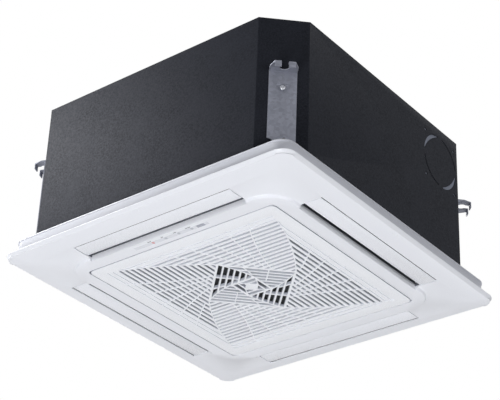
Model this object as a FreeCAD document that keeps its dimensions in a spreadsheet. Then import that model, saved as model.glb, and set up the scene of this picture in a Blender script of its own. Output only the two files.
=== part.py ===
"""Four-way cassette air conditioner for a 600 mm ceiling grid, in millimetres.

The frame: +Z is up, z = 0 is the ceiling plane (the upper face of the panel's flange) and the origin is
the centre of the ceiling opening. Side 1 faces -Y, side 2 +X, side 3 +Y and side 4 -X.
"""
import FreeCAD
import Part
import math
import os
import re
import Sketcher

SIZES = {
    # how far a cutting tool runs past the face that it opens
    "spare": 1,
    # ceiling panel
    "panel_side": 620, "panel_corner": 25, "flange_edge": 8, "edge_round": 2.5, "crown_drop": 5,
    "edge_steps": 4, "crown_run": 34, "crown_corner": 14, "ring_half": 231, "ring_corner": 50, "ring_drop": 5,
    "ring_slope": 8, "ring_steps": 6,
    "ledge_half": 188, "ledge_thickness": 8, "corner_pocket_from": 206, "corner_pocket_to": 286,
    "corner_skin": 4, "rim_side": 594, "rim_groove": 1.5, "foam_seat": 0.6, "rim_wall": 3,
    "rim_height": 27, "rim_lip": 1.2, "rim_lip_height": 2.5, "foam_height": 30, "foam_fit": 0.5,
    "seal_height": 3, "seal_side": 573,
    "intake_half": 205, "chute_half_width": 27.5, "chute_past_motor": 11.5,
    # louvers and their motors
    "louver_offset": 255.5, "louver_length": 336, "louver_width": 32, "louver_thickness": 3,
    "louver_bow": 1, "louver_gap_outer": 2.5, "louver_gap_inner": 10.9, "louver_gap_end": 1.5,
    "arm_thickness": 3, "arm_half_width": 5, "arm_top": 4, "pivot_radius": 2.5, "pivot_play": 0.05,
    "post_thickness": 4, "post_half_width": 6, "post_height": 6, "pivot_end_play": 0.4,
    "louver_motor_radius": 10, "louver_motor_length": 15, "louver_motor_neck_radius": 4,
    "louver_motor_neck": 2, "louver_motor_fit": 0.6,
    # intake grille, filter and catches
    "door_side": 403, "door_corner": 11, "opening_corner": 9, "door_gap": 2, "door_thickness": 6,
    "slat_field_half": 183,
    "slat_pitch": 10.5, "slat_width": 5.8, "rib_width": 2.4, "whirl_scale": 0.375, "petal_bulge": 11,
    "shortest_gap": 7, "rib_meet_share": 0.317, "rib_meet_up_share": 0.82, "rib_spread": 0.15,
    "rib_bend": 1.3, "rib_reach_share": 0.68, "inner_slat_width": 3.2, "blind_rows": 2, "blind_depth": 1.2,
    "door_pin_radius": 1.5, "door_pin_reach": 4, "door_pin_inset": 3.5, "door_pin_play": 0.05,
    "filter_half": 180, "filter_border": 7, "filter_height": 4, "filter_mesh_thickness": 0.8,
    "filter_mesh_lift": 1.6, "catch_offset_across": 100, "catch_offset_in": 194, "catch_length": 26,
    "catch_width": 11, "catch_height": 18, "catch_roof": 2, "plunger_radius": 3, "plunger_play": 0.05,
    "plunger_gap": 0.3, "plunger_head_radius": 4.5, "plunger_head": 2, "plunger_head_fit": 0.6,
    "plunger_travel": 3.5,
    # indicator strip
    "strip_length": 160, "strip_width": 8, "strip_thickness": 1.2, "strip_offset": 217,
    "lamp_radius": 2, "lamp_first_share": 0.24375, "lamp_pitch_share": 0.175, "lamp_depth": 8,
    "lamp_fit": 0.05, "receiver_share": 0.4, "receiver_length": 16, "receiver_width": 6,
    # panel bolts
    "bolt_offset": 193.5, "bolt_radius": 3, "bolt_head_radius": 6, "bolt_head": 1.8, "bolt_grip": 12,
    "bolt_fit": 0.3,
    # casing
    "body_side": 575, "body_height": 260, "bevel": 61, "left_bevel_across": 37, "left_bevel_along": 87.5,
    "sheet": 1.2, "top_flange": 12, "liner_fit": 0.3, "liner_wall": 10,
    "knockout_across": 168, "knockout_up": 223, "knockout_radius": 52, "knockout_slit": 2.4,
    "knockout_tab_angle": 16, "pry_slot_width": 7, "duct_screw_spacing": 93, "duct_screw_radius": 2.8,
    "casing_screw_radius": 1.6, "casing_screw_head_radius": 4, "casing_screw_head": 1.8,
    "plate_screw_head_radius": 3,
    "top_screw_inset": 6.5, "top_screw_across": 120,
    # hanger brackets
    "rod_spacing": 537.4, "ear_height": 187, "bracket_width": 46.5, "bracket_sheet": 2,
    "bracket_foot": 36, "ear_half_width": 17, "ear_beyond_rod": 14, "slot_radius": 8.75,
    "slot_mouth": 12, "ear_lip": 11.5, "bracket_notch": 13.5, "bracket_notch_rise": 6.5,
    "bracket_screw_drop": 32, "bracket_screw_radius": 2.5, "bracket_screw_head_radius": 5,
    "bracket_screw_head": 2.5,
    "bracket_screw_length": 8, "ear_taper": 14, "dimple_half_width": 11.5, "dimple_foot": 5.2,
    "dimple_above": 7, "dimple_below": 8, "dimple_depth": 1,
    # drain pan and bell mouth
    "pan_height": 62, "pan_floor": 47, "trough_inner": 148, "trough_outer": 204, "pan_hole_radius": 140,
    "outlet_near": 229, "outlet_far": 275, "outlet_half_length": 165, "bell_plate_radius": 150,
    "bell_plate": 3, "bell_recess": 4, "bell_fit": 0.5, "bell_lip_radius": 128, "bell_throat_radius": 100,
    "bell_wall": 3, "bell_rise": 87.5, "bell_screw_ring": 143, "bell_screw_head": 0.9,
    "bell_curve_in": 0.4, "bell_curve_up": 0.3, "bell_straight_up": 0.7,
    "bell_curve_shift": 0.03, "bell_straight_shift": 0.02,
    # coil and pipes
    "coil_inner": 156, "coil_outer": 196, "coil_height": 195, "coil_corner": 20, "coil_gap": 120,
    "bend_tube_radius": 4, "bend_radius": 10, "bend_pitch": 24, "bend_from_top": 8,
    "gas_pipe_radius": 6.35, "gas_pipe_wall": 0.8, "gas_pipe_above": 5.5, "liquid_pipe_radius": 3.2,
    "liquid_pipe_wall": 0.7, "liquid_pipe_below": 18.5, "pipe_across": 145, "pipe_start": 176,
    "pipe_turn": 15, "pipe_end": 309, "pipe_hole_fit": 0.3, "gas_nut_flats": 24,
    "liquid_nut_flats": 17, "nut_length": 12, "nut_end": 303, "pipe_plate_width": 50,
    "pipe_plate_height": 64, "pipe_plate_up": 160, "pipe_plate_overlap": 7,
    # fan
    "motor_radius": 62, "motor_height": 65, "motor_bracket_radius": 75, "motor_bracket_height": 7,
    "cushion_radius": 8, "cushion_height": 8, "cushion_ring": 46, "cushion_count": 4,
    "shaft_radius": 6, "shaft_play": 0.05, "shaft_in_motor": 50, "shaft_out": 47, "fan_radius": 145,
    "fan_gap": 4, "fan_plate": 3, "fan_depth": 86, "shroud": 4, "shroud_inner_radius": 106,
    "blade_inner_radius": 92, "blade_outer_radius": 142, "blade_sweep": 38, "blade_thickness": 4,
    "blade_count": 7, "hub_radius": 20, "hub_height": 30, "fan_nut_radius": 9, "fan_nut_height": 10,
    # drain pump, float and drain
    "pump_across": 172, "pump_radius": 22, "pump_height": 50, "pump_above_pan": 20, "pump_tube_radius": 9,
    "pump_tube_bore": 7.2, "pump_tube_gap": 2, "rotor_radius": 6.4, "rotor_height": 10, "rotor_lift": 2,
    "rotor_shaft_radius": 1.5, "rotor_shaft_play": 0.05, "rotor_shaft_grip": 12, "rotor_vane": 1.4,
    "float_across": 138, "float_radius": 9, "float_height": 13.2, "float_rest_gap": 0.3,
    "guide_radius": 2, "guide_play": 0.05, "guide_foot_radius": 3.5, "guide_foot": 1.5,
    "float_arm": 4, "float_arm_half_width": 3, "float_arm_up": 36, "strap_width": 20, "strap": 3,
    "nozzle_radius": 6, "nozzle_length": 12, "nozzle_up": 60, "riser_radius": 9, "riser_play": 0.05,
    "riser_turn": 18, "riser_turn_at": 238, "riser_end": 275, "drain_above": 65, "drain_radius": 12.5,
    "drain_bore": 4, "drain_end": 309, "drain_flange_radius": 20, "drain_flange": 2,
    "drain_spigot_end": 262, "wall_hole_fit": 0.4,
    # control box and cable entry
    "control_half_length": 110, "control_near": 153, "control_depth": 34, "control_fit": 1,
    "control_height": 39.5, "control_wall": 2, "control_cover": 2, "board_half_length": 95,
    "board_margin": 3, "board": 1.6, "board_hang": 21.5, "standoff_radius": 2.5, "standoff_inset": 6,
    "terminal_from": 40, "terminal_length": 50, "terminal_width": 14, "terminal_height": 10,
    "bush_across": -100, "bush_up": 115, "bush_neck_radius": 10, "bush_bore": 7, "bush_flange_radius": 13,
    "bush_flange": 3, "bush_neck": 10.5,
}
# places that follow from the sizes above: the pipes and the drain keep their distance from the pipe plate's
# middle, the return bends sit between the pipes, the lamps and the receiver spread along their strip, and the
# air chutes clear the louver motors
PLACES = {
    "gas_pipe_up": "=pipe_plate_up + gas_pipe_above", "liquid_pipe_up": "=pipe_plate_up - liquid_pipe_below",
    "drain_up": "=pipe_plate_up + drain_above", "bend_first_up": "=liquid_pipe_up - bend_pitch / 2",
    "lamp_first": "=0 - strip_length * lamp_first_share", "lamp_pitch": "=strip_length * lamp_pitch_share",
    "receiver_at": "=strip_length * receiver_share",
    "louver_motor_at": "=louver_length / 2 + louver_gap_end + post_thickness",
    "chute_half_length": "=louver_motor_at + louver_motor_neck + louver_motor_length + chute_past_motor",
    "control_far": "=control_near + control_depth",
}

BODY_BOTTOM = "(foam_height + seal_height)"
BODY_TOP = f"({BODY_BOTTOM} + body_height)"
TOP_UNDER = f"({BODY_TOP} - sheet)"
TROUGH_FLOOR = f"({BODY_BOTTOM} + pan_floor)"
RING_FACE = "(0 - flange_edge - crown_drop - ring_drop)"
DOOR_TOP = f"({RING_FACE} + door_thickness)"
LOUVER_FACE = "(0 - flange_edge - crown_drop)"
MOTOR_TOP = f"({TOP_UNDER} - motor_bracket_height - cushion_height)"
MOTOR_UNDER = f"({MOTOR_TOP} - motor_height)"
FAN_TOP = f"({MOTOR_UNDER} - fan_gap)"
PUMP_UNDER = f"({TROUGH_FLOOR} + pump_above_pan)"
PUMP_TOP = f"({PUMP_UNDER} + pump_height)"

X_AXIS = FreeCAD.Vector(1, 0, 0)
Y_AXIS = FreeCAD.Vector(0, 1, 0)
Z_AXIS = FreeCAD.Vector(0, 0, 1)

doc = FreeCAD.newDocument("cassette_air_conditioner")
sheet = doc.addObject("Spreadsheet::Sheet", "Sizes")
for row, (alias, value) in enumerate([*SIZES.items(), *PLACES.items()], start=1):
    sheet.set(f"A{row}", alias)
    sheet.set(f"B{row}", str(value))
    sheet.setAlias(f"B{row}", alias)
doc.recompute()

nodes = []


def size(alias):
    """The value of one driving dimension."""
    return float(sheet.get(alias))


BODY_BOTTOM_UP = size("foam_height") + size("seal_height")
BODY_TOP_UP = BODY_BOTTOM_UP + size("body_height")
TOP_UNDER_UP = BODY_TOP_UP - size("sheet")
PAN_TOP_UP = BODY_BOTTOM_UP + size("pan_height")
TROUGH_UP = BODY_BOTTOM_UP + size("pan_floor")
RING_FACE_UP = -size("flange_edge") - size("crown_drop") - size("ring_drop")
LOUVER_FACE_UP = -size("flange_edge") - size("crown_drop")
WALL_OUT = size("body_side") / 2
SPARE = size("spare")


def tied(text):
    """An expression in which every driving dimension is read from the sheet."""
    def named(word):
        known = word.group() in SIZES or word.group() in PLACES
        return f"Sizes.{word.group()}" if known else word.group()

    return re.sub(r"[a-z_]+", named, text)


def node(part, label):
    """Name one finished piece, which becomes a file of that name."""
    part.Label = label
    nodes.append(part)
    return part


def feature(label, shape):
    """A finished piece whose shape is worked out from the sheet's values."""
    part = doc.addObject("Part::Feature", f"{label}_piece")
    part.Shape = shape
    return node(part, label)


def box(name, across, along, up):
    """A block between two bounds on each axis, each bound an expression."""
    part = doc.addObject("Part::Box", name)
    for side, axis, (low, high) in zip(("Length", "Width", "Height"), "xyz", (across, along, up)):
        part.setExpression(side, tied(f"({high}) - ({low})"))
        part.setExpression(f"Placement.Base.{axis}", tied(low))
    return part


def rod(name, radius, start, length, axis="z"):
    """A round bar from a start point along one axis."""
    part = doc.addObject("Part::Cylinder", name)
    turn = {"x": FreeCAD.Rotation(Y_AXIS, 90), "y": FreeCAD.Rotation(X_AXIS, -90), "z": FreeCAD.Rotation()}
    part.Placement = FreeCAD.Placement(FreeCAD.Vector(), turn[axis])
    part.setExpression("Radius", tied(radius))
    part.setExpression("Height", tied(length))
    for name_of_axis, place in zip("xyz", start):
        part.setExpression(f"Placement.Base.{name_of_axis}", tied(place))
    return part


def joined(name, parts):
    """Several blocks and bars as one solid."""
    part = doc.addObject("Part::MultiFuse", name)
    part.Shapes = parts
    part.Refine = True
    return part


def less(name, base, tools):
    """A base with the tools cut away."""
    part = doc.addObject("Part::Cut", name)
    part.Base = base
    part.Tool = tools[0] if len(tools) == 1 else joined(f"{name}_tools", tools)
    part.Refine = True
    return part


def new_body(label):
    """An empty body for one piece."""
    return node(doc.addObject("PartDesign::Body", f"{label}_body"), label)


def new_sketch(body, name, plane, height):
    """A sketch on one of the body's origin planes, lifted off it by an expression."""
    sketch = body.newObject("Sketcher::SketchObject", f"{body.Name}_{name}")
    support = [datum for datum in body.Origin.OriginFeatures if datum.Role == plane][0]
    sketch.AttachmentSupport = [(support, "")]
    sketch.MapMode = "FlatFace"
    sketch.setExpression("AttachmentOffset.Base.z", tied(height))
    return sketch


def fix_point(sketch, edge, point, start, place):
    """Hold one sketch point at a pair of expressions measured from the origin."""
    for kind, first, text in zip(("DistanceX", "DistanceY"), start, place):
        index = sketch.addConstraint(Sketcher.Constraint(kind, -1, 1, edge, point, first))
        sketch.setExpression(f"Constraints[{index}]", tied(text))


def polygon(body, name, corners, plane="XY_Plane", height="0"):
    """A closed outline whose corners are pairs of expressions, listed counter-clockwise."""
    sketch = new_sketch(body, name, plane, height)
    count = len(corners)
    first_phase = 0.3
    start_radius = 100
    start = []
    for index in range(count):
        angle = 2 * math.pi * (index + first_phase) / count - 3 * math.pi / 4
        start.append(FreeCAD.Vector(start_radius * math.cos(angle), start_radius * math.sin(angle), 0))
    for index in range(count):
        sketch.addGeometry(Part.LineSegment(start[index], start[(index + 1) % count]), False)
    for index in range(count):
        sketch.addConstraint(Sketcher.Constraint("Coincident", index, 2, (index + 1) % count, 1))
    for index, place in enumerate(corners):
        fix_point(sketch, index, 1, (start[index].x, start[index].y), place)
    return sketch


def rectangle(low_x, low_y, high_x, high_y):
    """The four corners of an upright rectangle."""
    return [(low_x, low_y), (high_x, low_y), (high_x, high_y), (low_x, high_y)]


def circles(body, name, rounds, plane="XY_Plane", height="0"):
    """Circles given as (centre x, centre y, radius) expressions."""
    sketch = new_sketch(body, name, plane, height)
    for index, (x, y, radius) in enumerate(rounds):
        start = FreeCAD.Vector(10 + 3 * index, 7 + 5 * index, 0)
        first_radius = 5 + index
        sketch.addGeometry(Part.Circle(start, Z_AXIS, first_radius), False)
        fix_point(sketch, index, 3, (start.x, start.y), (x, y))
        held = sketch.addConstraint(Sketcher.Constraint("Radius", index, first_radius))
        sketch.setExpression(f"Constraints[{held}]", tied(radius))
    return sketch


def pad(body, sketch, length, backwards=False):
    """Material raised from a sketch, along its normal or against it."""
    grown = body.newObject("PartDesign::Pad", f"{sketch.Name}_pad")
    grown.Profile = sketch
    grown.setExpression("Length", tied(length))
    grown.Reversed = backwards
    doc.recompute()
    return grown


def pocket(body, sketch, depth, forwards=False):
    """Material cut from a sketch, against its normal or along it."""
    before = body.Shape.Volume
    cut = body.newObject("PartDesign::Pocket", f"{sketch.Name}_pocket")
    cut.Profile = sketch
    cut.setExpression("Length", tied(depth))
    cut.Reversed = forwards
    doc.recompute()
    if body.Shape.Volume >= before:
        raise RuntimeError(f"{sketch.Name} cuts nothing")
    return cut


def quarter_turn(index):
    """The placement that takes side 1 to another of the four sides."""
    return FreeCAD.Placement(FreeCAD.Vector(), FreeCAD.Rotation(Z_AXIS, 90 * index))


def turned(shape, index):
    """A copy of a shape on another of the four sides."""
    copy = shape.copy()
    copy.rotate(FreeCAD.Vector(), Z_AXIS, 90 * index)
    return copy


def block(low, high):
    """A plain block between two corners."""
    low = FreeCAD.Vector(*low)
    extent = FreeCAD.Vector(*high) - low
    return Part.makeBox(extent.x, extent.y, extent.z, low)


def bar(radius, start, end):
    """A plain round bar between two points."""
    start = FreeCAD.Vector(*start)
    way = FreeCAD.Vector(*end) - start
    return Part.makeCylinder(radius, way.Length, start, way)


def rounded_square(half, corner, up):
    """A square outline with round corners, level at a height."""
    flat = half - corner
    lean = corner * math.sqrt(0.5)
    edges = []
    for index in range(4):
        spin = FreeCAD.Rotation(Z_AXIS, 90 * index)
        points = [spin.multVec(FreeCAD.Vector(x, y, up)) for x, y in (
            (-flat, -half), (flat, -half), (flat + lean, -flat - lean), (half, -flat))]
        edges.append(Part.LineSegment(points[0], points[1]).toShape())
        edges.append(Part.Arc(points[1], points[2], points[3]).toShape())
    return Part.Wire(edges)


def square_prism(half, corner, low, high):
    """A round-cornered square block between two heights."""
    return Part.Face(rounded_square(half, corner, low)).extrude(FreeCAD.Vector(0, 0, high - low))


def bevelled_outline(inset, up):
    """The casing's eight-sided outline, moved inwards by an inset."""
    half = WALL_OUT - inset
    shift = inset * math.tan(math.radians(22.5))
    bevel = WALL_OUT - size("bevel") - shift
    across = WALL_OUT - size("left_bevel_across")
    along = WALL_OUT - size("left_bevel_along")
    lean = math.atan2(size("left_bevel_across"), size("left_bevel_along"))
    across -= inset * math.tan((math.pi / 2 - lean) / 2)
    along -= inset * math.tan(lean / 2)
    corners = [(-across, -half), (bevel, -half), (half, -bevel), (half, bevel), (bevel, half),
               (-bevel, half), (-half, bevel), (-half, -along)]
    points = [FreeCAD.Vector(x, y, up) for x, y in corners]
    return Part.makePolygon(points + points[:1])


def bevelled_prism(inset, low, high):
    """A block with the casing's outline between two heights."""
    return Part.Face(bevelled_outline(inset, low)).extrude(FreeCAD.Vector(0, 0, high - low))


def bent_tube(points, turn, radius, bore):
    """A tube along straight runs joined by tangent arcs of one radius."""
    points = [FreeCAD.Vector(*point) for point in points]
    edges = []
    start = points[0]
    for before, corner, after in zip(points, points[1:], points[2:]):
        arrive = (corner - before).normalize()
        leave = (after - corner).normalize()
        bend = arrive.getAngle(leave)
        reach = turn * math.tan(bend / 2)
        first = corner - arrive * reach
        last = corner + leave * reach
        inward = (leave - arrive).normalize()
        middle = corner + inward * (turn / math.cos(bend / 2) - turn)
        edges.append(Part.LineSegment(start, first).toShape())
        edges.append(Part.Arc(first, middle, last).toShape())
        start = last
    edges.append(Part.LineSegment(start, points[-1]).toShape())
    path = Part.Wire(edges)
    heading = points[1] - points[0]

    def swept(section_radius):
        section = Part.Wire(Part.makeCircle(section_radius, points[0], heading))
        return path.makePipeShell([section], True, True)

    return swept(radius).cut(swept(bore)) if bore else swept(radius)


def make_panel_frame():
    """The moulded ceiling panel: crowned flange, raised ring, outlet slots, ledge and louver posts."""
    half = size("panel_side") / 2
    corner = size("panel_corner")
    edge_round = size("edge_round")
    steps = int(size("edge_steps"))
    profile = [(edge_round / 2, 0), (0, -edge_round / 2)]
    for step in range(steps + 1):
        turn = math.pi / 2 * step / steps
        profile.append((edge_round * (1 - math.cos(turn)),
                        edge_round * (1 - math.sin(turn)) - size("flange_edge")))
    profile.append((size("crown_run"), LOUVER_FACE_UP))
    narrowing = (corner - size("crown_corner")) / size("crown_run")
    outline = [rounded_square(half - inset, corner - narrowing * inset, up) for inset, up in profile]
    shape = Part.makeLoft(outline, True, True)
    ring = []
    steps = int(size("ring_steps"))
    for step in range(steps + 1):
        share = step / steps
        slope = size("ring_slope") * (1 - share)
        up = LOUVER_FACE_UP - size("ring_drop") * share * share * (3 - 2 * share)
        ring.append(rounded_square(size("ring_half") + slope, size("ring_corner") + slope, up))
    shape = shape.fuse(Part.makeLoft(ring, True, True))
    seat = square_prism(size("rim_side") / 2 + size("rim_groove"), corner, -size("foam_seat"), SPARE)
    shelf = size("intake_half")
    shape = shape.cut(seat.cut(block((-shelf, -shelf, -SPARE), (shelf, shelf, 2 * SPARE))))

    offset = size("louver_offset")
    reach = size("louver_length") / 2 + size("louver_gap_end")
    post_end = reach + size("post_thickness")
    outer = offset + size("louver_width") / 2 + size("louver_gap_outer")
    inner = offset - size("louver_width") / 2 - size("louver_gap_inner")
    post_half = size("post_half_width")
    motor_half = size("louver_motor_radius") + size("louver_motor_fit")
    motor_end = post_end + size("louver_motor_neck") + size("louver_motor_length") + size("louver_motor_fit")
    pivot_hole = size("pivot_radius") + size("pivot_play")
    posts = []
    cuts = []
    for index in range(4):
        for low, high in ((-post_end, -reach), (reach, post_end)):
            post = block((low, -offset - post_half, -SPARE), (high, -offset + post_half, size("post_height")))
            posts.append(turned(post, index))
            hole = bar(pivot_hole, (low - SPARE, -offset, 0), (high + SPARE, -offset, 0))
            cuts.append(turned(hole, index))
        slot = block((-reach, -outer, RING_FACE_UP - SPARE), (reach, -inner, SPARE))
        cuts.append(turned(slot, index))
        cradle = block((post_end, -offset - motor_half, -size("louver_motor_radius")),
                       (motor_end, -offset + motor_half, SPARE))
        cuts.append(turned(cradle, index))
        near = size("corner_pocket_from")
        far = size("corner_pocket_to")
        hollow = block((near, -far, LOUVER_FACE_UP + size("corner_skin")), (far, -near, SPARE))
        cuts.append(turned(hollow, index))
        bolt_hole = size("bolt_radius") + size("bolt_fit")
        at = size("bolt_offset")
        bolt = bar(bolt_hole, (at, -at, -size("ledge_thickness") - SPARE), (at, -at, SPARE))
        cuts.append(turned(bolt, index))
    shape = shape.fuse(posts)
    door_half = size("door_side") / 2 + size("door_gap")
    cuts.append(square_prism(door_half, size("opening_corner"), RING_FACE_UP - SPARE,
                             -size("ledge_thickness")))
    ledge = size("ledge_half")
    cuts.append(block((-ledge, -ledge, -size("ledge_thickness") - SPARE), (ledge, ledge, SPARE)))
    pin_up = RING_FACE_UP + size("door_thickness") / 2
    pin_in = size("door_side") / 2 - size("door_pin_inset")
    pin_hole = size("door_pin_radius") + size("door_pin_play")
    pin_end = door_half + size("door_pin_reach") + size("pivot_end_play")
    cuts.append(bar(pin_hole, (-pin_end, pin_in, pin_up), (pin_end, pin_in, pin_up)))
    for side in (-1, 1):
        at = (side * size("catch_offset_across"), -size("catch_offset_in"))
        cuts.append(bar(size("plunger_head_radius") + size("plunger_head_fit"),
                        (*at, -size("ledge_thickness") - SPARE), (*at, SPARE)))
    strip_half = size("strip_width") / 2
    cuts.append(block((-size("strip_length") / 2, -size("strip_offset") - strip_half, RING_FACE_UP - SPARE),
                      (size("strip_length") / 2, -size("strip_offset") + strip_half,
                       RING_FACE_UP + size("strip_thickness"))))
    lamp_hole = size("lamp_radius") + size("lamp_fit")
    for index in range(4):
        at = (size("lamp_first") + index * size("lamp_pitch"), -size("strip_offset"))
        cuts.append(bar(lamp_hole, (*at, RING_FACE_UP), (*at, RING_FACE_UP + size("lamp_depth") + SPARE)))
    receiver = (size("receiver_length") / 2, size("receiver_width") / 2)
    cuts.append(block((size("receiver_at") - receiver[0], -size("strip_offset") - receiver[1], RING_FACE_UP),
                      (size("receiver_at") + receiver[0], -size("strip_offset") + receiver[1],
                       RING_FACE_UP + size("lamp_depth"))))
    return feature("panel_frame", shape.cut(cuts).removeSplitter())


def make_panel_rim():
    """The upstand behind the flange that fills the ceiling grid, with a lip along its top."""
    half = size("rim_side") / 2
    corner = size("panel_corner")
    height = size("rim_height")
    wall = size("rim_wall")
    shape = square_prism(half, corner, -size("foam_seat"), height)
    lip = square_prism(half + size("rim_lip"), corner, height - size("rim_lip_height"), height)
    hollow = square_prism(half - wall, corner - wall, -SPARE, height + SPARE)
    return feature("panel_rim", shape.fuse(lip).cut(hollow).removeSplitter())


def air_paths(name, low, high):
    """Cutting blocks for the intake and the four outlet chutes between two heights."""
    near = "louver_offset - chute_half_width"
    far = "louver_offset + chute_half_width"
    reach = "chute_half_length"
    spans = [(f"0 - {reach}", reach, f"0 - ({far})", f"0 - ({near})"), (near, far, f"0 - {reach}", reach),
             (f"0 - {reach}", reach, near, far), (f"0 - ({far})", f"0 - ({near})", f"0 - {reach}", reach)]
    tools = [box(f"{name}_chute_{index}", (x_low, x_high), (y_low, y_high), (low, high))
             for index, (x_low, x_high, y_low, y_high) in enumerate(spans, start=1)]
    across = ("0 - intake_half", "intake_half")
    tools.append(box(f"{name}_intake", across, across, (low, high)))
    return tools


def make_panel_foam():
    """The panel's moulded insulation with the air paths, and the seal between it and the casing."""
    block_of_foam = square_prism(size("rim_side") / 2 - size("rim_wall") - size("foam_fit"),
                                 size("panel_corner") - size("rim_wall"), -size("foam_seat"),
                                 size("foam_height"))
    base = doc.addObject("Part::Feature", "panel_foam_block")
    base.Shape = block_of_foam
    node(less("panel_foam_cut", base, air_paths("foam", "0 - spare", "foam_height + spare")), "panel_foam")
    half = ("0 - seal_side / 2", "seal_side / 2")
    seal = box("seal_block", half, half, ("foam_height", BODY_BOTTOM))
    paths = air_paths("seal", "foam_height - spare", f"{BODY_BOTTOM} + spare")
    node(less("panel_seal_cut", seal, paths), "panel_seal")


def make_louver(number):
    """One outlet louver: a bowed blade hung on two end arms with pivots along X at the ceiling plane."""
    body = new_body(f"louver_{number}")
    half = "louver_width / 2"
    face = LOUVER_FACE
    section = polygon(body, "blade", [
        (f"0 - louver_offset - {half}", f"{face} + louver_bow"), (f"0 - louver_offset - {half} / 2", face),
        (f"0 - louver_offset + {half} / 2", face), (f"0 - louver_offset + {half}", f"{face} + louver_bow"),
        (f"0 - louver_offset + {half}", f"{face} + louver_thickness"),
        (f"0 - louver_offset - {half}", f"{face} + louver_thickness")],
        plane="YZ_Plane", height="0 - louver_length / 2")
    pad(body, section, "louver_length")
    for end, start in (("left", "0 - louver_length / 2"), ("right", "louver_length / 2 - arm_thickness")):
        arm = polygon(body, f"{end}_arm", rectangle(
            "0 - louver_offset - arm_half_width", f"{face} + louver_thickness / 2",
            "0 - louver_offset + arm_half_width", "arm_top"), plane="YZ_Plane", height=start)
        pad(body, arm, "arm_thickness")
    ends = (("left", "0 - louver_length / 2", True), ("right", "louver_length / 2", False))
    for end, start, backwards in ends:
        pivot = circles(body, f"{end}_pivot", [("0 - louver_offset", "0", "pivot_radius")],
                        plane="YZ_Plane", height=start)
        pad(body, pivot, "louver_gap_end + post_thickness - pivot_end_play", backwards)
    body.Placement = quarter_turn(number - 1)


def make_louver_motor(number):
    """The small stepper motor in its cradle at one end of a louver."""
    start = "louver_motor_at"
    neck = rod(f"louver_motor_neck_{number}", "louver_motor_neck_radius", (start, "0 - louver_offset", "0"),
               "louver_motor_neck", "x")
    can = rod(f"louver_motor_can_{number}", "louver_motor_radius",
              (f"{start} + louver_motor_neck", "0 - louver_offset", "0"), "louver_motor_length", "x")
    motor = node(joined(f"louver_motor_solid_{number}", [neck, can]), f"louver_motor_{number}")
    motor.Placement = quarter_turn(number - 1)


def petal_rows(level_half, inner, rib_count, slat):
    """Outlines of the gaps between slats in one petal whose side lies at y = -level_half, row by row.

    Slats run along X. The petal's right bound is a gentle arc from its right-hand corner to (inner, 0). Its
    left bound is the same arc a quarter turn back, from the left-hand corner to (0, -inner), and the next
    level's side from there. Ribs start at even steps from the right-hand corner and lean together.
    """
    pitch = size("slat_pitch")
    half_rib = size("rib_width") / 2
    reached = level_half - inner
    rise = 4 * size("petal_bulge") * level_half / size("slat_field_half")
    meet = level_half * size("rib_meet_share")
    meet_up = level_half * size("rib_meet_up_share")
    reach = size("rib_reach_share")
    starts = [level_half * (1 - 2 * reach * (1 - index / rib_count)) for index in range(rib_count)]
    rows = []

    def right_bound(up):
        share = up / level_half
        return level_half - reached * share + rise * share * (1 - share)

    def left_bound(up):
        if up > reached:
            return up - reached
        slope = reached - rise
        share = (math.sqrt(slope * slope + 4 * rise * up) - slope) / (2 * rise)
        return level_half * (share - 1)

    def rib_at(begin, up):
        tip = meet + size("rib_spread") * (begin - meet)
        return tip + (begin - tip) * max(0, 1 - up / meet_up) ** size("rib_bend")

    for row in range(int(level_half / pitch)):
        ups = (row * pitch + slat, (row + 1) * pitch)
        right = [right_bound(up) for up in ups]
        lines = [[left_bound(up) for up in ups]]
        for begin in starts:
            rib = [rib_at(begin, up) for up in ups]
            room = [min(x - before, after - x) for before, x, after in zip(lines[-1], rib, right)]
            if min(room) > size("shortest_gap"):
                lines.append(rib)
        lines.append(right)
        gaps = []
        for pair in zip(lines, lines[1:]):
            sides = []
            for line, way in zip(pair, (1, -1)):
                lean = math.hypot(1, (line[1] - line[0]) / (ups[1] - ups[0]))
                edge = level_half - half_rib
                sides.append([max(-edge, min(edge, x + way * half_rib * lean)) for x in line])
            (low_left, high_left), (low_right, high_right) = sides
            if min(low_right - low_left, high_right - high_left) < size("rib_width"):
                continue
            gaps.append([(low_left, ups[0] - level_half), (low_right, ups[0] - level_half),
                         (high_right, ups[1] - level_half), (high_left, ups[1] - level_half)])
        rows.append(gaps)
    return rows


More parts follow.
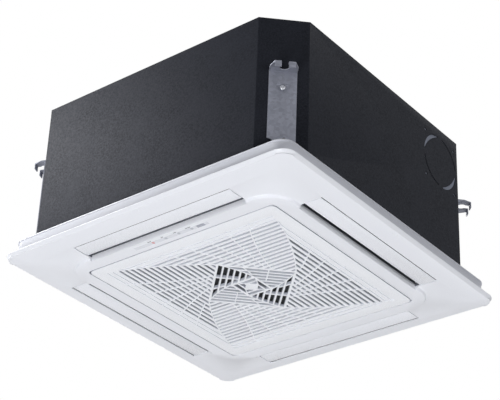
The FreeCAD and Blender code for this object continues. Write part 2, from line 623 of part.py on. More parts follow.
def make_intake_grille():
    """The intake door: a square frame round a whirl of slats that turns an eighth at each smaller level.

    The outermost rows are blind grooves in the frame.
    """
    low = RING_FACE_UP
    height = size("door_thickness")
    door = rounded_square(size("door_side") / 2, size("door_corner"), low)
    holes = []
    grooves = []
    level_half = size("slat_field_half")
    for level, rib_count in enumerate((5, 2, 0)):
        inner = level_half * math.sqrt(2) * size("whirl_scale")
        slat = size("inner_slat_width") if level else size("slat_width")
        for row, gaps in enumerate(petal_rows(level_half, inner, rib_count, slat)):
            blind = level == 0 and row < size("blind_rows")
            for gap in gaps:
                for quarter in range(4):
                    spin = FreeCAD.Rotation(Z_AXIS, 45 * level + 90 * quarter)
                    points = [spin.multVec(FreeCAD.Vector(x, y, low)) for x, y in gap]
                    outline = Part.makePolygon(points + points[:1])
                    if blind:
                        grooves.append(Part.Face(outline).extrude(FreeCAD.Vector(0, 0, size("blind_depth"))))
                    else:
                        holes.append(outline)
        level_half = inner / math.sqrt(2)
    face = Part.makeFace([door] + holes, "Part::FaceMakerBullseye")
    shape = face.extrude(FreeCAD.Vector(0, 0, height)).cut(grooves)
    pin_up = low + height / 2
    pin_in = size("door_side") / 2 - size("door_pin_inset")
    reach = size("door_side") / 2 + size("door_gap") + size("door_pin_reach")
    start = size("door_side") / 2 - size("door_corner")
    pins = [bar(size("door_pin_radius"), (side * start, pin_in, pin_up), (side * reach, pin_in, pin_up))
            for side in (-1, 1)]
    return feature("intake_grille", shape.fuse(pins))


def make_filter():
    """The washable air filter that lies on the grille: a border and a mesh set into it."""
    full = ("0 - filter_half", "filter_half")
    open_part = ("0 - filter_half + filter_border", "filter_half - filter_border")
    border = box("filter_block", full, full, (DOOR_TOP, f"{DOOR_TOP} + filter_height"))
    window = box("filter_window", open_part, open_part,
                 (f"{DOOR_TOP} - spare", f"{DOOR_TOP} + filter_height + spare"))
    node(less("filter_border", border, [window]), "filter_frame")
    mesh = (f"{DOOR_TOP} + filter_mesh_lift", f"{DOOR_TOP} + filter_mesh_lift + filter_mesh_thickness")
    node(box("filter_net", open_part, open_part, mesh), "filter_mesh")


def make_catches():
    """Two push catches on the ledge: housings and sprung plungers that bear on the grille's top face."""
    housings = []
    for number, side in ((1, "0 - catch_offset_across"), (2, "catch_offset_across")):
        across = (f"{side} - catch_length / 2", f"{side} + catch_length / 2")
        along = ("0 - catch_offset_in - catch_width / 2", "0 - catch_offset_in + catch_width / 2")
        shell = box(f"catch_block_{number}", across, along, ("0", "catch_height"))
        centre = (side, "0 - catch_offset_in")
        bore = rod(f"catch_bore_{number}", "plunger_radius + plunger_play", (*centre, "0 - spare"),
                   "catch_height - catch_roof + spare")
        housings.append(less(f"catch_shell_{number}", shell, [bore]))
        low = f"{DOOR_TOP} + plunger_gap"
        stem = rod(f"plunger_stem_{number}", "plunger_radius", (*centre, low),
                   f"catch_height - catch_roof - plunger_travel - ({low}) - plunger_gap")
        head = rod(f"plunger_head_{number}", "plunger_head_radius", (*centre, low), "plunger_head")
        node(joined(f"plunger_{number}", [stem, head]), f"catch_plunger_{number}")
    group = doc.addObject("Part::Compound", "catch_pair")
    group.Links = housings
    node(group, "catch_housings")


def make_indicator():
    """The indicator strip in the ring, its four lamps and the receiver window."""
    half = "strip_width / 2"
    strip = box("strip_block", ("0 - strip_length / 2", "strip_length / 2"),
                (f"0 - strip_offset - {half}", f"0 - strip_offset + {half}"),
                (RING_FACE, f"{RING_FACE} + strip_thickness"))
    lamps = []
    holes = []
    for index in range(4):
        start = (f"lamp_first + {index} * lamp_pitch", "0 - strip_offset")
        lamps.append(rod(f"lamp_{index + 1}", "lamp_radius", (*start, RING_FACE), "lamp_depth"))
        holes.append(rod(f"lamp_hole_{index + 1}", "lamp_radius + lamp_fit", (*start, f"{RING_FACE} - spare"),
                         "strip_thickness + 2 * spare"))
    across = ("receiver_at - receiver_length / 2", "receiver_at + receiver_length / 2")
    along = ("0 - strip_offset - receiver_width / 2", "0 - strip_offset + receiver_width / 2")
    holes.append(box("receiver_hole", across, along,
                     (f"{RING_FACE} - spare", f"{RING_FACE} + strip_thickness + spare")))
    node(less("strip_cut", strip, holes), "indicator_strip")
    node(box("receiver_block", across, along, (RING_FACE, f"{RING_FACE} + lamp_depth")), "receiver_window")
    group = doc.addObject("Part::Compound", "lamp_group")
    group.Links = lamps
    node(group, "indicator_lamps")


def make_panel_bolts():
    """Four bolts that hang the panel from the drain pan's corners."""
    bolts = []
    at = size("bolt_offset")
    for index in range(4):
        head = bar(size("bolt_head_radius"), (at, -at, -size("ledge_thickness") - size("bolt_head")),
                   (at, -at, -size("ledge_thickness")))
        shank = bar(size("bolt_radius"), (at, -at, -size("ledge_thickness")),
                    (at, -at, BODY_BOTTOM_UP + size("bolt_grip")))
        bolts.append(turned(head.fuse(shank), index))
    return feature("panel_bolts", Part.makeCompound(bolts))


def make_casing_wrap():
    """The bent sheet casing: eight walls, a top flange, the knock-out and the openings for the services."""
    shape = bevelled_prism(0, BODY_BOTTOM_UP, TOP_UNDER_UP)
    inside = bevelled_prism(size("sheet"), BODY_BOTTOM_UP - SPARE, TOP_UNDER_UP - size("sheet"))
    mouth = bevelled_prism(size("sheet") + size("top_flange"), BODY_BOTTOM_UP, TOP_UNDER_UP + SPARE)
    cuts = [inside, mouth]
    wall = (WALL_OUT - size("sheet") - SPARE, WALL_OUT + SPARE)
    centre = FreeCAD.Vector(wall[0], size("knockout_across"), size("knockout_up"))
    depth = wall[1] - wall[0]
    radius = size("knockout_radius")
    tab = size("knockout_tab_angle")
    slit = size("knockout_slit")
    half_sector = math.radians(90 - tab) / 2
    half_chord = (radius - slit) * math.sin(half_sector)
    sagitta = radius - size("pry_slot_width") - (radius - slit) * math.cos(half_sector)
    flat_radius = (half_chord * half_chord + sagitta * sagitta) / (2 * sagitta)
    for index in range(4):
        middle = FreeCAD.Rotation(X_AXIS, 90 * index + 45).multVec(Y_AXIS)
        sector = Part.makeCylinder(radius, depth, centre, X_AXIS)
        core_radius = radius - slit
        core_at = centre
        if index % 2:
            core_radius = flat_radius
            core_at = centre + middle * (radius - size("pry_slot_width") - flat_radius)
        sector = sector.cut(Part.makeCylinder(core_radius, depth, core_at, X_AXIS))
        wedge = Part.makePolygon([centre] + [
            centre + FreeCAD.Rotation(X_AXIS, 90 * index + turn).multVec(Y_AXIS) * 2 * radius
            for turn in (tab / 2, 90 - tab / 2)] + [centre])
        sector = sector.common(Part.Face(wedge).extrude(X_AXIS * depth))
        cuts.append(sector)
    spread = size("duct_screw_spacing") / 2
    for along, up in ((-1, -1), (1, -1), (1, 1), (-1, 1)):
        place = (size("knockout_across") + along * spread, size("knockout_up") + up * spread)
        cuts.append(bar(size("duct_screw_radius"), (wall[0], *place), (wall[1], *place)))
    cuts.extend(service_openings(0))
    for at in top_screw_places():
        cuts.append(bar(size("casing_screw_radius"), (*at, TOP_UNDER_UP - size("sheet") - SPARE),
                        (*at, TOP_UNDER_UP + SPARE)))
    for place in pipe_plate_screw_places():
        cuts.append(bar(size("casing_screw_radius"), (-wall[1], *place), (-wall[0], *place)))
    for foot, spin in bracket_places():
        hole = bar(size("bracket_screw_radius"), (0, -SPARE, bracket_screw_up()),
                   (0, size("bracket_screw_length"), bracket_screw_up()))
        hole.Placement = FreeCAD.Placement(foot, spin)
        cuts.append(hole)
    return feature("casing_wrap", shape.cut(cuts).removeSplitter())


def service_openings(extra):
    """Openings through the casing and liner for the pipes, the drain and the cable."""
    inner = WALL_OUT - size("sheet") - size("liner_fit") - size("liner_wall") - SPARE
    outer = WALL_OUT + SPARE
    half_width = size("pipe_plate_width") / 2 - size("pipe_plate_overlap") + extra
    half_height = size("pipe_plate_height") / 2 - size("pipe_plate_overlap") + extra
    pipes = block((-outer, size("pipe_across") - half_width, size("pipe_plate_up") - half_height),
                  (-inner, size("pipe_across") + half_width, size("pipe_plate_up") + half_height))
    drain_at = (size("pump_across"), size("drain_up"))
    drain_hole = size("riser_radius") + size("wall_hole_fit") + extra
    drain = bar(drain_hole, (-outer, *drain_at), (-inner, *drain_at))
    cable_hole = size("bush_neck_radius") + size("wall_hole_fit") / 2 + extra
    cable = bar(cable_hole, (size("bush_across"), inner, size("bush_up")),
                (size("bush_across"), outer, size("bush_up")))
    return [pipes, drain, cable]


def top_screw_places():
    """Plan positions of the top plate's screws, two on each side."""
    inset = WALL_OUT - size("top_screw_inset")
    across = size("top_screw_across")
    return [(across, inset), (-across, inset), (across, -inset), (-across, -inset),
            (inset, across), (inset, -across), (-inset, across), (-inset, -across)]


def make_top_plate():
    """The flat sheet lid of the casing."""
    shape = bevelled_prism(0, TOP_UNDER_UP, BODY_TOP_UP)
    holes = [bar(size("casing_screw_radius"), (*at, TOP_UNDER_UP - SPARE), (*at, BODY_TOP_UP + SPARE))
             for at in top_screw_places()]
    return feature("top_plate", shape.cut(holes))


def make_casing_screws():
    """The sheet-metal screws of the lid and of the pipe plate."""
    screws = []
    for at in top_screw_places():
        head = bar(size("casing_screw_head_radius"), (*at, BODY_TOP_UP),
                   (*at, BODY_TOP_UP + size("casing_screw_head")))
        shank = bar(size("casing_screw_radius"), (*at, TOP_UNDER_UP - size("sheet")), (*at, BODY_TOP_UP))
        screws.append(head.fuse(shank))
    face = -WALL_OUT - size("sheet")
    for place in pipe_plate_screw_places():
        head = bar(size("plate_screw_head_radius"), (face - size("casing_screw_head"), *place),
                   (face, *place))
        shank = bar(size("casing_screw_radius"), (face, *place), (-WALL_OUT + size("sheet"), *place))
        screws.append(head.fuse(shank))
    return feature("casing_screws", Part.makeCompound(screws))


def pipe_plate_screw_places():
    """Positions (y, z) of the four screws of the pipe plate."""
    inset = size("pipe_plate_overlap") / 2
    half_width = size("pipe_plate_width") / 2 - inset
    half_height = size("pipe_plate_height") / 2 - inset
    return [(size("pipe_across") + side * half_width, size("pipe_plate_up") + rise * half_height)
            for side in (-1, 1) for rise in (-1, 1)]


def make_foam_liner():
    """The insulation inside the casing walls, standing on the drain pan."""
    inset = size("sheet") + size("liner_fit")
    top = TOP_UNDER_UP - size("sheet")
    shape = bevelled_prism(inset, PAN_TOP_UP, top)
    inside = bevelled_prism(inset + size("liner_wall"), PAN_TOP_UP - SPARE, top + SPARE)
    return feature("foam_liner", shape.cut([inside] + service_openings(size("wall_hole_fit"))))


def make_drain_pan():
    """The moulded pan under the coil: trough, fan inlet, four outlets and the control box's pocket."""
    inset = size("sheet") + size("liner_fit")
    shape = bevelled_prism(inset, BODY_BOTTOM_UP, PAN_TOP_UP)
    trough = block((-size("trough_outer"), -size("trough_outer"), TROUGH_UP),
                   (size("trough_outer"), size("trough_outer"), PAN_TOP_UP + SPARE))
    island = block((-size("trough_inner"), -size("trough_inner"), TROUGH_UP - SPARE),
                   (size("trough_inner"), size("trough_inner"), PAN_TOP_UP + 2 * SPARE))
    cuts = [trough.cut(island)]
    cuts.append(bar(size("pan_hole_radius"), (0, 0, BODY_BOTTOM_UP - SPARE), (0, 0, PAN_TOP_UP + SPARE)))
    cuts.append(bar(size("bell_plate_radius") + size("bell_fit"), (0, 0, BODY_BOTTOM_UP - SPARE),
                    (0, 0, BODY_BOTTOM_UP + size("bell_recess"))))
    reach = size("outlet_half_length")
    for index in range(4):
        outlet = block((-reach, -size("outlet_far"), BODY_BOTTOM_UP - SPARE),
                       (reach, -size("outlet_near"), PAN_TOP_UP + SPARE))
        cuts.append(turned(outlet, index))
        at = size("bolt_offset")
        hole = bar(size("bolt_radius"), (at, -at, BODY_BOTTOM_UP - SPARE),
                   (at, -at, BODY_BOTTOM_UP + size("bolt_grip")))
        cuts.append(turned(hole, index))
        ring = size("bell_screw_ring")
        screw = bar(size("casing_screw_radius"), (ring, 0, BODY_BOTTOM_UP),
                    (ring, 0, BODY_BOTTOM_UP + size("bell_recess") + size("bolt_grip")))
        screw.rotate(FreeCAD.Vector(), Z_AXIS, 45)
        cuts.append(turned(screw, index))
    fit = size("control_fit")
    reach = size("control_half_length") + fit
    cuts.append(block((-reach, size("control_near") - fit, BODY_BOTTOM_UP - SPARE),
                      (reach, size("control_far") + fit,
                       BODY_BOTTOM_UP + size("control_cover") + size("control_height"))))
    return feature("drain_pan", shape.cut(cuts).removeSplitter())


def make_bell_mouth():
    """The round inlet nozzle that leads the room air into the fan wheel."""
    body = new_body("bell_mouth")
    low = f"{BODY_BOTTOM} + bell_recess - bell_plate"
    throat = "bell_throat_radius"
    curve = f"{throat} + (bell_lip_radius - {throat}) * bell_curve_in"
    profile = polygon(body, "profile", [
        ("bell_lip_radius", low), ("bell_plate_radius", low), ("bell_plate_radius", f"{low} + bell_plate"),
        ("bell_lip_radius + bell_wall", f"{low} + bell_plate"),
        (f"{curve} + bell_wall", f"{low} + bell_rise * bell_curve_up"),
        (f"{throat} + bell_wall", f"{low} + bell_rise * bell_straight_up"),
        (f"{throat} + bell_wall", f"{low} + bell_rise"), (throat, f"{low} + bell_rise"),
        (throat, f"{low} + bell_rise * (bell_straight_up - bell_straight_shift)"),
        (curve, f"{low} + bell_rise * (bell_curve_up - bell_curve_shift)")], plane="XZ_Plane")
    spun = body.newObject("PartDesign::Revolution", "bell_mouth_spin")
    spun.Profile = profile
    spun.ReferenceAxis = (profile, ["V_Axis"])
    spun.Angle = 360
    doc.recompute()
    screws = []
    ring = size("bell_screw_ring")
    face = BODY_BOTTOM_UP + size("bell_recess") - size("bell_plate")
    leg = "bell_screw_ring * sqrt(0.5)"
    holes = circles(body, "screw_holes", [
        (f"{leg} * {sign_x}", f"{leg} * {sign_y}", "casing_screw_radius")
        for sign_x, sign_y in ((1, -1), (1, 1), (-1, 1), (-1, -1))], height=f"{low} + bell_plate + spare")
    pocket(body, holes, "bell_plate + 2 * spare")
    for index in range(4):
        head = bar(size("casing_screw_head_radius"), (ring, 0, face - size("bell_screw_head")),
                   (ring, 0, face))
        shank = bar(size("casing_screw_radius"), (ring, 0, face),
                    (ring, 0, BODY_BOTTOM_UP + size("bell_recess") + size("bolt_grip")))
        screw = head.fuse(shank)
        screw.rotate(FreeCAD.Vector(), Z_AXIS, 45)
        screws.append(turned(screw, index))
    feature("bell_screws", Part.makeCompound(screws))


def make_coil():
    """The finned coil bent round the fan, open at one corner, with its return bends."""
    outer = size("coil_outer")
    inner = size("coil_inner")
    top = TROUGH_UP + size("coil_height")
    corner = size("coil_corner")
    ring = square_prism(outer, corner + outer - inner, TROUGH_UP, top)
    ring = ring.cut(square_prism(inner, corner, TROUGH_UP - SPARE, top + SPARE))
    gap = size("coil_gap")
    ring = ring.cut(block((-outer - SPARE, gap, TROUGH_UP - SPARE), (-gap, outer + SPARE, top + SPARE)))
    feature("coil_fins", ring)
    bends = []
    middle = (inner + outer) / 2
    first = size("bend_first_up")
    count = int((top - size("bend_from_top") - first) / size("bend_pitch")) + 1
    for index in range(count):
        up = first + index * size("bend_pitch")
        for centre, heading in (((-gap, middle, up), 180), ((-middle, gap, up), 90)):
            bend = Part.makeTorus(size("bend_radius"), size("bend_tube_radius"), FreeCAD.Vector(), Z_AXIS,
                                  -180, 180, 180)
            bend.rotate(FreeCAD.Vector(), Z_AXIS, heading - 90)
            bend.translate(FreeCAD.Vector(*centre))
            bends.append(bend)
    feature("coil_return_bends", Part.makeCompound(bends))


def make_pipe(label, radius, wall, up, nut_flats):
    """One refrigerant pipe from the coil through the casing, with its flare nut."""
    start = size("pipe_start")
    across = size("pipe_across")
    route = [(-start, size("coil_gap"), up), (-start, across, up), (-size("pipe_end"), across, up)]
    feature(f"{label}_pipe", bent_tube(route, size("pipe_turn"), radius, radius - wall))
    flats = nut_flats / 2
    points = []
    for index in range(6):
        angle = math.radians(60 * index + 30)
        far = flats / math.cos(math.radians(30))
        points.append(FreeCAD.Vector(-size("nut_end"), across + far * math.cos(angle),
                                     up + far * math.sin(angle)))
    hexagon = Part.Face(Part.makePolygon(points + points[:1])).extrude(X_AXIS * size("nut_length"))
    hole = bar(radius, (-size("nut_end") - SPARE, across, up),
               (-size("nut_end") + size("nut_length") + SPARE, across, up))
    feature(f"{label}_nut", hexagon.cut(hole))


def make_pipe_plate():
    """The cover plate over the pipe opening, with a close hole for each pipe."""
    half_width = "pipe_plate_width / 2"
    half_height = "pipe_plate_height / 2"
    plate = box("pipe_plate_block", ("0 - body_side / 2 - sheet", "0 - body_side / 2"),
                (f"pipe_across - {half_width}", f"pipe_across + {half_width}"),
                (f"pipe_plate_up - {half_height}", f"pipe_plate_up + {half_height}"))
    holes = [rod(f"{label}_pipe_hole", f"{label}_pipe_radius + pipe_hole_fit",
                 ("0 - body_side / 2 - sheet - spare", "pipe_across", f"{label}_pipe_up"),
                 "sheet + 2 * spare", "x")
             for label in ("gas", "liquid")]
    inset = "pipe_plate_overlap / 2"
    for index, (side, rise) in enumerate(((-1, -1), (1, -1), (1, 1), (-1, 1)), start=1):
        holes.append(rod(f"pipe_plate_screw_hole_{index}", "casing_screw_radius", (
            "0 - body_side / 2 - sheet - spare", f"pipe_across + {side} * ({half_width} - {inset})",
            f"pipe_plate_up + {rise} * ({half_height} - {inset})"), "sheet + 2 * spare", "x"))
    node(less("pipe_plate_cut", plate, holes), "pipe_plate")


def make_fan():
    """The fan: motor on cushions under the lid, shaft, wheel with swept blades, and the wheel's nut."""
    node(rod("motor_bracket_disc", "motor_bracket_radius", ("0", "0", f"{TOP_UNDER} - motor_bracket_height"),
             "motor_bracket_height"), "motor_bracket")
    cushions = []
    for index in range(int(size("cushion_count"))):
        angle = 360 / size("cushion_count") * index
        place = (f"cushion_ring * cos({angle} deg)", f"cushion_ring * sin({angle} deg)", MOTOR_TOP)
        cushions.append(rod(f"cushion_{index + 1}", "cushion_radius", place, "cushion_height"))
    group = doc.addObject("Part::Compound", "cushion_group")
    group.Links = cushions
    node(group, "motor_cushions")
    can = rod("motor_can", "motor_radius", ("0", "0", MOTOR_UNDER), "motor_height")
    bore = rod("motor_bore", "shaft_radius + shaft_play", ("0", "0", f"{MOTOR_UNDER} - spare"),
               "shaft_in_motor + spare")
    node(less("motor_cut", can, [bore]), "fan_motor")
    node(rod("shaft_bar", "shaft_radius", ("0", "0", f"{MOTOR_UNDER} - shaft_out"),
             "shaft_out + shaft_in_motor - pivot_end_play"), "fan_shaft")

    body = new_body("fan_wheel")
    under_plate = f"{FAN_TOP} - fan_plate"
    pad(body, circles(body, "plate", [("0", "0", "fan_radius")], height=under_plate), "fan_plate")
    pad(body, circles(body, "hub", [("0", "0", "hub_radius")], height=under_plate), "hub_height", True)
    sweep = "blade_sweep * 1 deg"
    half = "blade_thickness / 2"
    blade = polygon(body, "blade", [
        ("blade_inner_radius", f"0 - {half}"),
        (f"blade_outer_radius * cos({sweep}) + {half}", f"blade_outer_radius * sin({sweep}) - {half}"),
        (f"blade_outer_radius * cos({sweep}) - {half}", f"blade_outer_radius * sin({sweep}) + {half}"),
        (f"blade_inner_radius - {half}", half)], height=under_plate)
    blade_pad = pad(body, blade, "fan_depth - fan_plate - shroud", True)
    pattern = body.newObject("PartDesign::PolarPattern", "fan_blades")
    pattern.Originals = [blade_pad]
    pattern.Axis = (blade, ["N_Axis"])
    pattern.Angle = 360
    pattern.setExpression("Occurrences", tied("blade_count"))
    body.Tip = pattern
    doc.recompute()
    shroud = circles(body, "shroud", [("0", "0", "fan_radius"), ("0", "0", "shroud_inner_radius")],
                     height=f"{FAN_TOP} - fan_depth")
    pad(body, shroud, "shroud")
    bore = circles(body, "bore", [("0", "0", "shaft_radius")], height=f"{FAN_TOP} + spare")
    pocket(body, bore, "fan_plate + hub_height + 2 * spare")

    nut_top = f"{FAN_TOP} - fan_plate - hub_height"
    nut = rod("fan_nut_block", "fan_nut_radius", ("0", "0", f"{nut_top} - fan_nut_height"), "fan_nut_height")
    hole = rod("fan_nut_hole", "shaft_radius", ("0", "0", f"{nut_top} - fan_nut_height - spare"),
               "fan_nut_height + 2 * spare")
    node(less("fan_nut_cut", nut, [hole]), "fan_nut")


def make_drain():
    """The drain pump with its float switch, the strap it hangs on, the riser pipe and the outlet."""
    at = ("0 - pump_across", "pump_across")
    tube_low = f"({TROUGH_FLOOR} + pump_tube_gap)"
    arm_low = f"({TROUGH_FLOOR} + float_arm_up)"
    float_at = ("0 - float_across", "pump_across")
    can = rod("pump_can", "pump_radius", (*at, PUMP_UNDER), "pump_height")
    tube = rod("pump_tube", "pump_tube_radius", (*at, tube_low), f"{PUMP_UNDER} - {tube_low}")
    arm = box("float_arm_block", ("0 - pump_across", "0 - float_across + guide_foot_radius"),
              ("pump_across - float_arm_half_width", "pump_across + float_arm_half_width"),
              (arm_low, f"{arm_low} + float_arm"))
    guide = rod("float_guide", "guide_radius", (*float_at, tube_low), f"{arm_low} - {tube_low}")
    foot = rod("float_foot", "guide_foot_radius", (*float_at, tube_low), "guide_foot")
    nozzle_up = f"({TROUGH_FLOOR} + nozzle_up)"
    nozzle = rod("pump_nozzle", "nozzle_radius",
                 ("0 - pump_across - pump_radius - nozzle_length", "pump_across", nozzle_up),
                 "nozzle_length + pump_radius", "x")
    bore = rod("pump_tube_hole", "pump_tube_bore", (*at, f"{tube_low} - spare"),
               f"{PUMP_UNDER} - {tube_low} + spare")
    seat = rod("rotor_seat", "rotor_shaft_radius + rotor_shaft_play", (*at, f"{PUMP_UNDER} - spare"),
               "rotor_shaft_grip + spare")
    whole = joined("pump_solid", [can, tube, arm, guide, foot, nozzle])
    node(less("pump_cut", whole, [bore, seat]), "drain_pump")

    rotor_low = f"({tube_low} + rotor_lift)"
    stem = rod("rotor_stem", "rotor_shaft_radius", (*at, rotor_low),
               f"{PUMP_UNDER} + rotor_shaft_grip - pivot_end_play - {rotor_low}")
    vanes = [box("rotor_vane_across", ("0 - pump_across - rotor_radius", "0 - pump_across + rotor_radius"),
                 ("pump_across - rotor_vane / 2", "pump_across + rotor_vane / 2"),
                 (rotor_low, f"{rotor_low} + rotor_height")),
             box("rotor_vane_along", ("0 - pump_across - rotor_vane / 2", "0 - pump_across + rotor_vane / 2"),
                 ("pump_across - rotor_radius", "pump_across + rotor_radius"),
                 (rotor_low, f"{rotor_low} + rotor_height"))]
    node(joined("rotor_solid", [stem] + vanes), "pump_rotor")

    float_low = f"{tube_low} + guide_foot + float_rest_gap"
    ring = rod("float_block", "float_radius", (*float_at, float_low), "float_height")
    eye = rod("float_eye", "guide_radius + guide_play", (*float_at, f"{float_low} - spare"),
              "float_height + 2 * spare")
    node(less("float_cut", ring, [eye]), "drain_float")

    node(box("pump_strap_block", ("0 - pump_across - strap_width / 2", "0 - pump_across + strap_width / 2"),
             ("pump_across - strap / 2", "pump_across + strap / 2"), (PUMP_TOP, TOP_UNDER)), "pump_strap")

    across = size("pump_across")
    low = TROUGH_UP + size("nozzle_up")
    turn_at = -size("riser_turn_at")
    high = size("drain_up")
    route = [(-across - size("pump_radius") - SPARE, across, low), (turn_at, across, low),
             (turn_at, across, high), (-size("riser_end"), across, high)]
    feature("drain_riser", bent_tube(route, size("riser_turn"), size("riser_radius"),
                                    size("nozzle_radius") + size("riser_play")))

    out_at = ("pump_across", "drain_up")
    stub = rod("drain_stub", "drain_radius", ("0 - drain_end", *out_at), "drain_end - body_side / 2", "x")
    collar = rod("drain_collar", "drain_flange_radius", ("0 - body_side / 2 - drain_flange", *out_at),
                 "drain_flange", "x")
    spigot = rod("drain_spigot", "nozzle_radius", ("0 - body_side / 2 - drain_flange", *out_at),
                 "body_side / 2 + drain_flange - drain_spigot_end", "x")
    drain_hole = rod("drain_hole", "drain_bore", ("0 - drain_end - spare", *out_at),
                     "drain_end - drain_spigot_end + 2 * spare", "x")
    outlet = joined("drain_outlet_solid", [stub, collar, spigot])
    node(less("drain_outlet_cut", outlet, [drain_hole]), "drain_outlet")


def make_controls():
    """The control box in the drain pan's pocket, its cover, board and terminal block, and the cable bush."""
    low = f"({BODY_BOTTOM} + control_cover)"
    high = f"({low} + control_height)"
    across = ("0 - control_half_length", "control_half_length")
    along = ("control_near", "control_far")
    tray = box("control_block", across, along, (low, high))
    inside = ("0 - control_half_length + control_wall", "control_half_length - control_wall")
    hollow = box("control_hollow", inside,
                 ("control_near + control_wall", "control_far - control_wall"),
                 (f"{low} - spare", f"{high} - control_wall"))
    shell = less("control_shell", tray, [hollow])
    board_top = f"({high} - control_wall - board_hang)"
    along_board = ("control_near + board_margin", "control_far - board_margin")
    posts = [rod(f"standoff_{index}", "standoff_radius",
                 (f"{side} * (board_half_length - standoff_inset)", place, board_top),
                 "board_hang + control_wall / 2")
             for index, (side, place) in enumerate(
                 (side, place) for side in (-1, 1)
                 for place in ("control_near + board_margin + standoff_inset",
                               "control_far - board_margin - standoff_inset"))]
    node(joined("control_tray", [shell] + posts), "control_box")
    node(box("control_lid", across, along, (BODY_BOTTOM, low)), "control_cover")
    node(box("board_plate", ("0 - board_half_length", "board_half_length"), along_board,
             (f"{board_top} - board", board_top)), "control_board")
    middle = "(control_near + control_far) / 2"
    node(box("terminal", ("terminal_from", "terminal_from + terminal_length"),
             (f"{middle} - terminal_width / 2", f"{middle} + terminal_width / 2"),
             (f"{board_top} - board - terminal_height", f"{board_top} - board")), "terminal_block")
    wall = "body_side / 2"
    neck = rod("bush_neck_bar", "bush_neck_radius", ("bush_across", f"{wall} - bush_neck", "bush_up"),
               "bush_neck", "y")
    flange = rod("bush_flange_disc", "bush_flange_radius", ("bush_across", wall, "bush_up"),
                 "bush_flange", "y")
    hole = rod("bush_hole", "bush_bore", ("bush_across", f"{wall} - bush_neck - spare", "bush_up"),
               "bush_neck + bush_flange + 2 * spare", "y")
    node(less("bush_cut", joined("bush_solid", [neck, flange]), [hole]), "cable_bush")


def bracket_screw_up():
    """The height of the bracket screws."""
    return size("ear_height") - size("bracket_screw_drop")


def bracket_places():
    """Foot point and turn of each hanger bracket: the wall point nearest its rod, and outwards as -Y."""
    rod_at = size("rod_spacing") / 2
    places = []
    for index in range(3):
        angle = 45 + 90 * index
        outward = FreeCAD.Vector(math.sin(math.radians(angle)), -math.cos(math.radians(angle)), 0)
        bevel_at = math.sqrt(2) * WALL_OUT - size("bevel") * math.sqrt(0.5)
        places.append((outward * bevel_at, FreeCAD.Rotation(Z_AXIS, angle)))
    lean = math.atan2(size("left_bevel_along"), size("left_bevel_across"))
    outward = FreeCAD.Vector(-math.sin(lean), -math.cos(lean), 0)
    on_wall = FreeCAD.Vector(-WALL_OUT + size("left_bevel_across"), -WALL_OUT, 0)
    hung = FreeCAD.Vector(-rod_at, -rod_at, 0)
    foot = hung - outward * (hung - on_wall).dot(outward)
    places.append((foot, FreeCAD.Rotation(Z_AXIS, -math.degrees(lean))))
    return places


